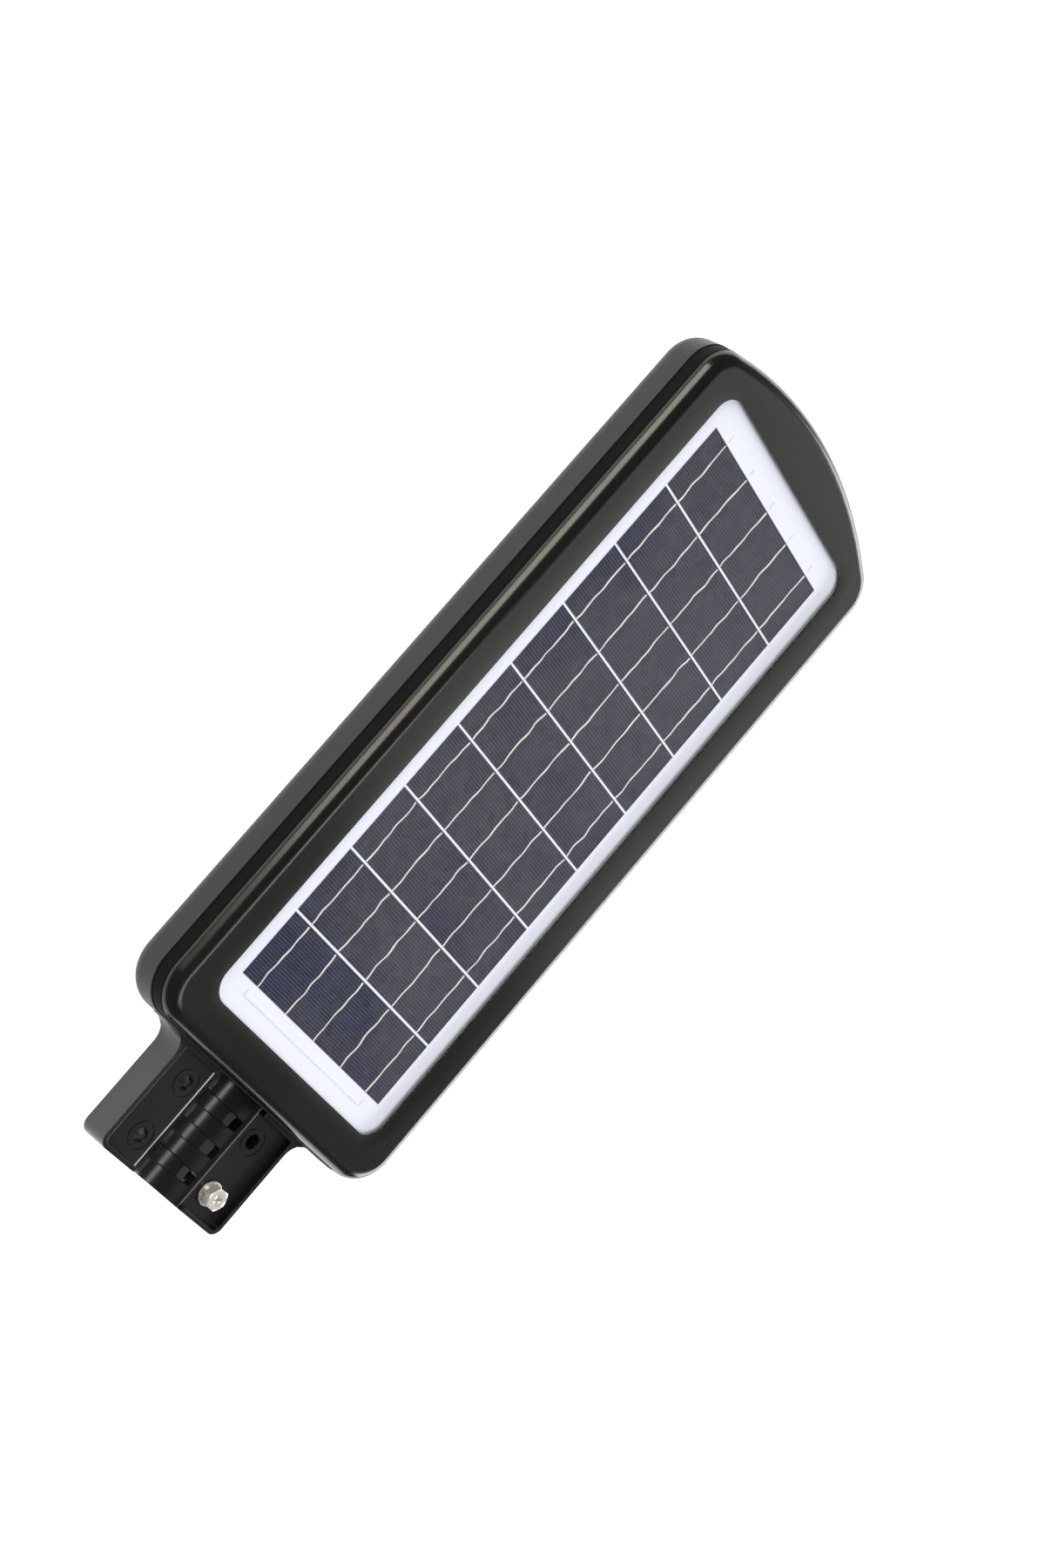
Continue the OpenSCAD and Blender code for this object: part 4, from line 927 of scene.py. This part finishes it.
class LAMP_OT_panel(bpy.types.Operator):
    """Lays up the solar panel: laminate, cells, wavy ribbons, film and glass."""

    bl_idname = "lamp.panel"
    bl_label = "Solar panel"

    def execute(self, context):
        sizes, colours = context.scene.lamp_sizes, context.scene.lamp_colours
        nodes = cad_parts
        w = sizes.ribbon / MM / 2
        first_x, first_y = -2 * RIBBON_PITCH, PANEL_Y - (CELLS - 1) / 2 * CELL_PITCH

        def strand(name, z, thick, low_y, high_y):
            return drawn(name, z, thick, (first_x - w, low_y), [
                (first_x + w, low_y), (first_x + w, high_y), (first_x - w, high_y),
                (first_x - w, low_y)])

        strip = strand("ribbon", CELL_TOP_Z + 0.01, RIBBON_THICK, first_y - 22.1, first_y + 21.3)
        pick(strip, "EDGE", lambda a, b: abs(a.y - b.y) > 20)
        bpy.ops.mesh.subdivide(number_cuts=13)
        leave()
        ribbons = copies(strip, [(i * RIBBON_PITCH, j * CELL_PITCH) for i in range(RIBBONS)
                                 for j in range(CELLS) if (i, j) != (0, 0)], "cell_ribbon_strips")
        wave = bpy.data.textures.new("ribbon_wave", "CLOUDS")
        wave.noise_scale, wave.noise_depth = 0.009, 0
        modifier(ribbons, "DISPLACE", texture=wave, direction="X", texture_coords="LOCAL",
                 strength=sizes.ribbon_wave * 2, mid_level=0.5)
        done(ribbons, "cell_ribbon_strips", "lamp",
             ribbon_finish("ribbon_tinned", colours.ribbon), ["cell_ribbons"], 0)

        near, far, half = PANEL_Y - 205.575, PANEL_Y + 205.575, 66.7
        tab_z = BOARD_TOP_Z + 0.02
        collector = drawn("end_ribbon_strips", tab_z, TAB_THICK, (-half, near - 9), [
            (half, near - 9), (half, near - 4), (half - 1.1, near - 4), (half - 1.1, near - 7.9),
            (-half + 1.1, near - 7.9), (-half + 1.1, near - 4), (-half, near - 4), (-half, near - 9)])
        tab = strand("tab", tab_z, TAB_THICK, far + 2.4, far + 7)
        tabs = copies(tab, [(i * RIBBON_PITCH, 0) for i in range(1, RIBBONS)], "tabs")
        ends = joined([collector, tabs], "end_ribbon_strips")
        done(ends, "end_ribbon_strips", "lamp",
             ribbon_finish("collector_tinned", (0.84, 0.83, 0.79), 0.55), ["end_ribbons"], 0)

        film = plate("clear_film_sheet", (0, PANEL_Y), (192.9, 460.5), 2, CELL_TOP_Z + 0.14, 0.05)
        done(film, "clear_film_sheet", "lamp",
             clear("film_clear", (0.99, 0.99, 1.0), 0.12, 0.3, 0.001, 60.0), ["encapsulant"], 0)

        for name, finish in (
                ("panel_glass", clear("glass_clear", (0.985, 0.99, 1.0), 0.35, 0.06)),
                ("solar_cells", cell_finish(colours)),
                ("panel_backboard", laminate_finish(colours.laminate)),
                ("panel_bead", rubber("silicone_bead", (0.05, 0.05, 0.048), 0.4))):
            dress(nodes[name], finish)
        return {"FINISHED"}


def dress(node, finish):
    """Gives a carried-over node one finish all over."""
    node.data.materials.clear()
    node.data.materials.append(finish)


class LAMP_OT_fittings(bpy.types.Operator):
    """Makes what shows below: sensor dome, switch, button, vent, windows and screws."""

    bl_idname = "lamp.fittings"
    bl_label = "Underside fittings"

    def execute(self, context):
        base = BOTTOM_Z + 1
        turns = [math.radians(a) for a in range(15, 91, 15)]
        lens = [(0, base - 12)] + [(12 * math.sin(a), base - 12 * math.cos(a)) for a in turns]
        flange_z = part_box("sensor_dome")[1].z / MM
        dome = turned("sensor_dome_lens", DOME_AT, lens + [
            (12, FLOOR_Z), (15, FLOOR_Z), (15, flange_z), (10.8, flange_z), (10.8, base)] + [
            (r * 0.9, z + (base - z) * 0.1) for r, z in reversed(lens[:-1])], 20)

        def outside(centre, normal):
            out = centre - Vector((*DOME_AT, base))
            return out.z < -0.5 and out @ normal > 0 and out.length > 11.3

        pick(dome, "FACE", outside)
        bpy.ops.mesh.inset(thickness=0.00028, depth=-0.00018, use_individual=True)
        tidy_solid()
        done(dome, "sensor_dome_lens", "lamp", milky_finish(), ["sensor_dome"], 12,
             False)

        pipe_top = -17.6
        receiver = turned("receiver_window", RECEIVER_AT, [
            (0, BOTTOM_Z + 0.3), (2.6, BOTTOM_Z + 0.3), (3.4, BOTTOM_Z + 0.02), (3.85, BOTTOM_Z + 0.1),
            (4.0, BOTTOM_Z + 0.4), (4.0, FLOOR_Z + 0.5), (2.5, FLOOR_Z + 0.5), (2.5, pipe_top),
            (0, pipe_top)], 48)
        done(receiver, "receiver_window", "lamp",
             moulded("receiver_dark_red", (0.06, 0.008, 0.010), 0.12, 0.003, 0.6), ["remote_receiver"])
        pipe = turned("indicator_pipe", INDICATOR_AT, [
            (0, BOTTOM_Z + 0.02), (0.9, BOTTOM_Z + 0.1), (1.8, BOTTOM_Z + 0.35), (2.3, BOTTOM_Z + 0.8),
            (2.5, BOTTOM_Z + 1.4), (2.5, FLOOR_Z), (2.0, FLOOR_Z), (2.0, pipe_top), (0, pipe_top)], 40)
        done(pipe, "indicator_pipe", "lamp",
             moulded("light_pipe_frosted", (0.62, 0.72, 0.62), 0.18, 0.004, 0.6, mottle=0.05),
             ["indicator_light"])

        flange = -31.5
        body = turned("switch_body", SWITCH_AT, [
            (5.6, flange + 0.5), (5.9, flange + 0.12), (6.4, flange), (6.9, flange),
            (7.1, flange + 0.3), (7.5, flange + 0.3), (7.7, flange)] + rounded(
            10.5, flange, -29.5, 0.5)[:-1] + [
            (10.3, -29.5), (7.9, -29.5), (7.9, -27.8), (7.5, -27.4)] + [
            p for i in range(10) for p in ((7.9, -26.9 + i * 1.5), (7.45, -26.15 + i * 1.5))] + [
            (7.9, -11.6), (7.6, -11.5), (0, -11.5), (0, -17.7), (5.6, -17.7)], 64, True)
        blades = [plate("blade", (SWITCH_AT[0], SWITCH_AT[1] + s * 3), (2.8, 0.8), 0.2, -11.7, 5.2)
                  for s in (-1, 1)]
        combine(body, blades, "UNION")
        done(body, "switch_body", "lamp",
             metal("switch_plating", (0.58, 0.58, 0.57), 0.24), ["power_switch"])
        face = -33.5
        button = turned("power_button_cap", SWITCH_AT, [
            (0, face + 0.35), (1.2, face + 0.32), (2.6, face + 0.2), (3.6, face + 0.03), (4.2, face),
            (4.9, face + 0.05), (5.3, face + 0.3), (5.5, face + 0.8), (5.5, -19.5), (0, -19.5)], 56)
        done(button, "power_button_cap", "button",
             moulded("button_black", (0.02, 0.02, 0.02), 0.35, 0.008), ["power_button"])

        vent = turned("vent_cap", VENT_AT, [(0, -30.5), (4.6, -30.5), (5.0, -30.2), (5.6, -30.2),
                                            (6.0, -30.5), (7.2, -30.5), (7.8, -30.2), (8.0, -29.6),
                                            (8.0, -28.52), (5.0, -28.52)] + [
            p for i in range(4) for p in ((4.6, -28.1 + i * 1.5), (5.0, -27.4 + i * 1.5))] + [
            (5.0, -21.6), (0, -21.5)], 48)
        for turn in range(0, 360, 60):
            away = Matrix.Rotation(math.radians(turn), 2) @ Vector((2.6, 0))
            combine(vent, [put(plate("vent_slot", (0, 0), (2.6, 0.8), 0.35, -31, 1.1),
                               (VENT_AT[0] + away.x, VENT_AT[1] + away.y, 0), (0, 0, turn))])
        done(vent, "vent_cap", "lamp",
             moulded("vent_black", (0.025, 0.025, 0.025), 0.4), ["vent_plug"])

        screw_metal = metal("screw_plating", (0.52, 0.52, 0.50), 0.28)
        for name, node, places, (r, low, high), tip, shank in (
                ("lens_screw_set", "lens_screws", LENS_SCREWS, (2.6, -28.48, -26.92), -19.6, 1.2),
                ("cover_screw_set", "cover_screws", COVER_SCREWS, (3.1, -22.9, -20.51), 3.0, 1.45)):
            at = places[0]
            half_pitch = 0.45
            turns = int((tip - high - 1.6) / half_pitch)
            thread = [(shank - 0.28 * (i % 2), high + 0.6 + i * half_pitch) for i in range(turns)]
            one = turned("screw", at, [
                (0, low), (r * 0.45, low + 0.04), (r * 0.8, low + 0.25), (r * 0.97, low + 0.65),
                (r, high - 0.2), (r - 0.1, high), (shank, high)] + thread + [
                (shank * 0.8, tip - 0.8), (0, tip)], 24)
            combine(one, [put(cross("slot", at, 0, r * 1.15, r * 0.3, 0.9), (0, 0, low - 0.2))])
            done(copies(one, [(x - at[0], y - at[1]) for x, y in places[1:]], name), name, "lamp",
                 screw_metal, [node], 35)
        return {"FINISHED"}


class LAMP_OT_insides(bpy.types.Operator):
    """Gives every carried-over inner piece its finish."""

    bl_idname = "lamp.insides"
    bl_label = "Inner pieces"

    def execute(self, context):
        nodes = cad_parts
        black = moulded("inner_black_plastic", (0.02, 0.02, 0.02), 0.45, 0.015)
        board = circuit("board_green", (0.012, 0.10, 0.035), (0.03, 0.20, 0.07))
        plated = metal("nickel_plating", (0.62, 0.61, 0.57), 0.22)
        screws = metal("zinc_plating", (0.50, 0.51, 0.50), 0.32)
        seal = rubber("seal_rubber_grey", (0.11, 0.11, 0.105), 0.62)
        finishes = {
            seal: ("housing_gasket", "lens_gasket", "switch_seal"),
            black: ("panel_terminal", "battery_strap", "controller_chips"),
            board: ("protection_board", "controller_board", "sensor_board"),
            plated: ("battery_tabs", "sensor_can", "switch_nut"),
            screws: ("battery_strap_screws", "board_screws", "led_board_screws", "arm_screws"),
            moulded("tray_blue_grey", (0.06, 0.10, 0.17), 0.45): ("battery_tray",),
            sleeve_finish(): ("battery_cells",),
            moulded("plug_ivory", (0.78, 0.72, 0.56), 0.38, mottle=0.06): ("controller_plugs",),
            metal("coil_copper", (0.45, 0.20, 0.09), 0.35, 0.2, 0.05, (1, 1, 30)): (
                "controller_coils",),
            rubber("wire_red", (0.50, 0.025, 0.02), 0.4): ("battery_lead",),
            rubber("wire_black", (0.018, 0.018, 0.018), 0.4): ("panel_lead", "switch_lead"),
            rubber("wire_white", (0.62, 0.62, 0.58), 0.4): ("led_lead",),
            circuit("board_white", (0.80, 0.80, 0.78), (0.70, 0.70, 0.68), 5.0): ("led_board",),
            emitter_finish(): ("led_emitters",),
            moulded("reflector_white", (0.86, 0.86, 0.84), 0.22, 0.004, 0.5, mottle=0.03): (
                "led_reflector",),
            clear("lens_clear", (0.96, 0.98, 1.0), 1.0, 0.08, 0.02, 220.0, 0.03): ("lens_cover",),
        }
        for finish, names in finishes.items():
            for name in names:
                dress(nodes[name], finish)
        return {"FINISHED"}


def soft_step(f, value, zero, one):
    """0 before one place and 1 after the other, with a straight run between them."""
    return f.add("ShaderNodeMapRange", {"clamp": True}, {0: value, 1: zero, 2: one, 3: 0.0, 4: 1.0})


class LAMP_OT_stage(bpy.types.Operator):
    """Lays the floor and sets the studio lights."""

    bl_idname = "lamp.stage"
    bl_label = "Stage and lights"

    def execute(self, context):
        stage = context.scene.lamp_stage
        bpy.ops.object.select_all(action="DESELECT")
        bpy.ops.mesh.primitive_plane_add(size=20.0, location=(0, 0.3, -0.0406))
        floor = context.object
        floor.name = "studio_floor"
        f = Finish("studio_white")
        here = f.place()
        x, y = f.across(here)[:2]
        tone = f.noise(0.8, 1.0, 0.5, here)
        # Painted shadow: a dark, unlit patch of floor under the arm, which only the arm's holes and
        # slots look down on
        under = soft_step(f, x, -0.046, -0.038) * soft_step(f, x, 0.090, 0.075) * soft_step(
            f, y, -0.340, -0.333) * soft_step(f, y, -0.230, -0.240)
        shade = f.blend(tone, (0.90, 0.90, 0.90), (0.92, 0.92, 0.92))
        glow = f.blend(under, (1.0, 1.0, 1.0), (0.0, 0.0, 0.0))
        lit = f.plain(Base_Color=f.blend(under, shade, (0.10, 0.10, 0.10)), Roughness=0.9,
                      Emission_Color=glow, Emission_Strength=1.0)
        back = f.add("ShaderNodeNewGeometry", out="Backfacing")
        see = f.add("ShaderNodeBsdfTransparent")
        floor.data.materials.append(f.end(f.add("ShaderNodeMixShader", {}, {0: back, 1: lit, 2: see})))

        f = Finish("studio_room", bpy.data.worlds.new("studio_room"))
        seen = f.add("ShaderNodeLightPath", out="Is Camera Ray")
        dim = f.add("ShaderNodeBackground", {}, {"Color": (0.95, 0.97, 1.0), "Strength": stage.room})
        white = f.add("ShaderNodeBackground", {}, {"Color": (1.0, 1.0, 1.0)})
        context.scene.world = f.end(f.add("ShaderNodeMixShader", {}, {0: seen, 1: dim, 2: white}))

        for name, spot, wide, tall, radiance, tint in (
                ("side_softbox", (-1.98, 1.02, 0.98), 1.35, 1.3, stage.side, stage.warm),
                ("top_strip", (0.40, 0.05, 1.0), 0.22, 0.9, stage.top, (1.0, 1.0, 1.0)),
                ("far_panel", (2.0, 1.4, 1.75), 1.2, 1.7, stage.far, (0.98, 0.98, 1.0)),
                ("low_strip", (2.2, 1.0, 0.58), 0.90, 3.6, stage.low, (1.0, 0.99, 0.96)),
                ("overhead_fill", (-0.3, 0.1, 2.2), 1.6, 2.2, stage.fill, (1.0, 1.0, 1.0))):
            data = bpy.data.lights.new(name, "AREA")
            data.shape, data.size, data.size_y = "RECTANGLE", wide, tall
            data.energy = radiance * math.pi * wide * tall
            data.color = tint
            light = bpy.data.objects.new(name, data)
            aim = Vector((0.0, spot[1], 0.0)) - Vector(spot)
            across = Vector((-aim.z, 0, aim.x)).normalized()
            upright = (-aim).normalized()
            light.matrix_world = Matrix.Translation(spot) @ Matrix(
                (across, upright.cross(across), upright)).transposed().to_4x4()
            light.visible_camera = False
            light.visible_glossy = name != "overhead_fill"
            context.scene.collection.objects.link(light)
        context.scene.view_settings.view_transform = "Standard"
        return {"FINISHED"}


STEPS = (LAMP_OT_camera, LAMP_OT_cover, LAMP_OT_housing, LAMP_OT_arm, LAMP_OT_fasteners, LAMP_OT_panel,
         LAMP_OT_fittings, LAMP_OT_insides, LAMP_OT_stage)


class LAMP_PT_sidebar(bpy.types.Panel):
    """Lists the steps that build the lamp, with its sizes and colours."""

    bl_idname = "LAMP_PT_sidebar"
    bl_label = "Solar street lamp"
    bl_space_type = "VIEW_3D"
    bl_region_type = "UI"
    bl_category = "Lamp"

    def draw(self, context):
        for step in STEPS:
            self.layout.operator(step.bl_idname)
        for group in (context.scene.lamp_sizes, context.scene.lamp_colours, context.scene.lamp_stage):
            box = self.layout.box()
            for name in group.bl_rna.properties.keys():
                if name not in ("rna_type", "name"):
                    box.prop(group, name)


GROUPS = {"lamp_sizes": LampSizes, "lamp_colours": LampColours, "lamp_stage": LampStage}


def register():
    for cls in (*GROUPS.values(), *STEPS, LAMP_PT_sidebar):
        bpy.utils.register_class(cls)
    for name, cls in GROUPS.items():
        setattr(bpy.types.Scene, name, bpy.props.PointerProperty(type=cls))


def unregister():
    for name in GROUPS:
        delattr(bpy.types.Scene, name)
    for cls in (LAMP_PT_sidebar, *reversed(STEPS), *GROUPS.values()):
        bpy.utils.unregister_class(cls)


def main():
    register()
    for step in STEPS:
        group, name = step.bl_idname.split(".")
        getattr(getattr(bpy.ops, group), name)()


if __name__ == "__main__":
    main()
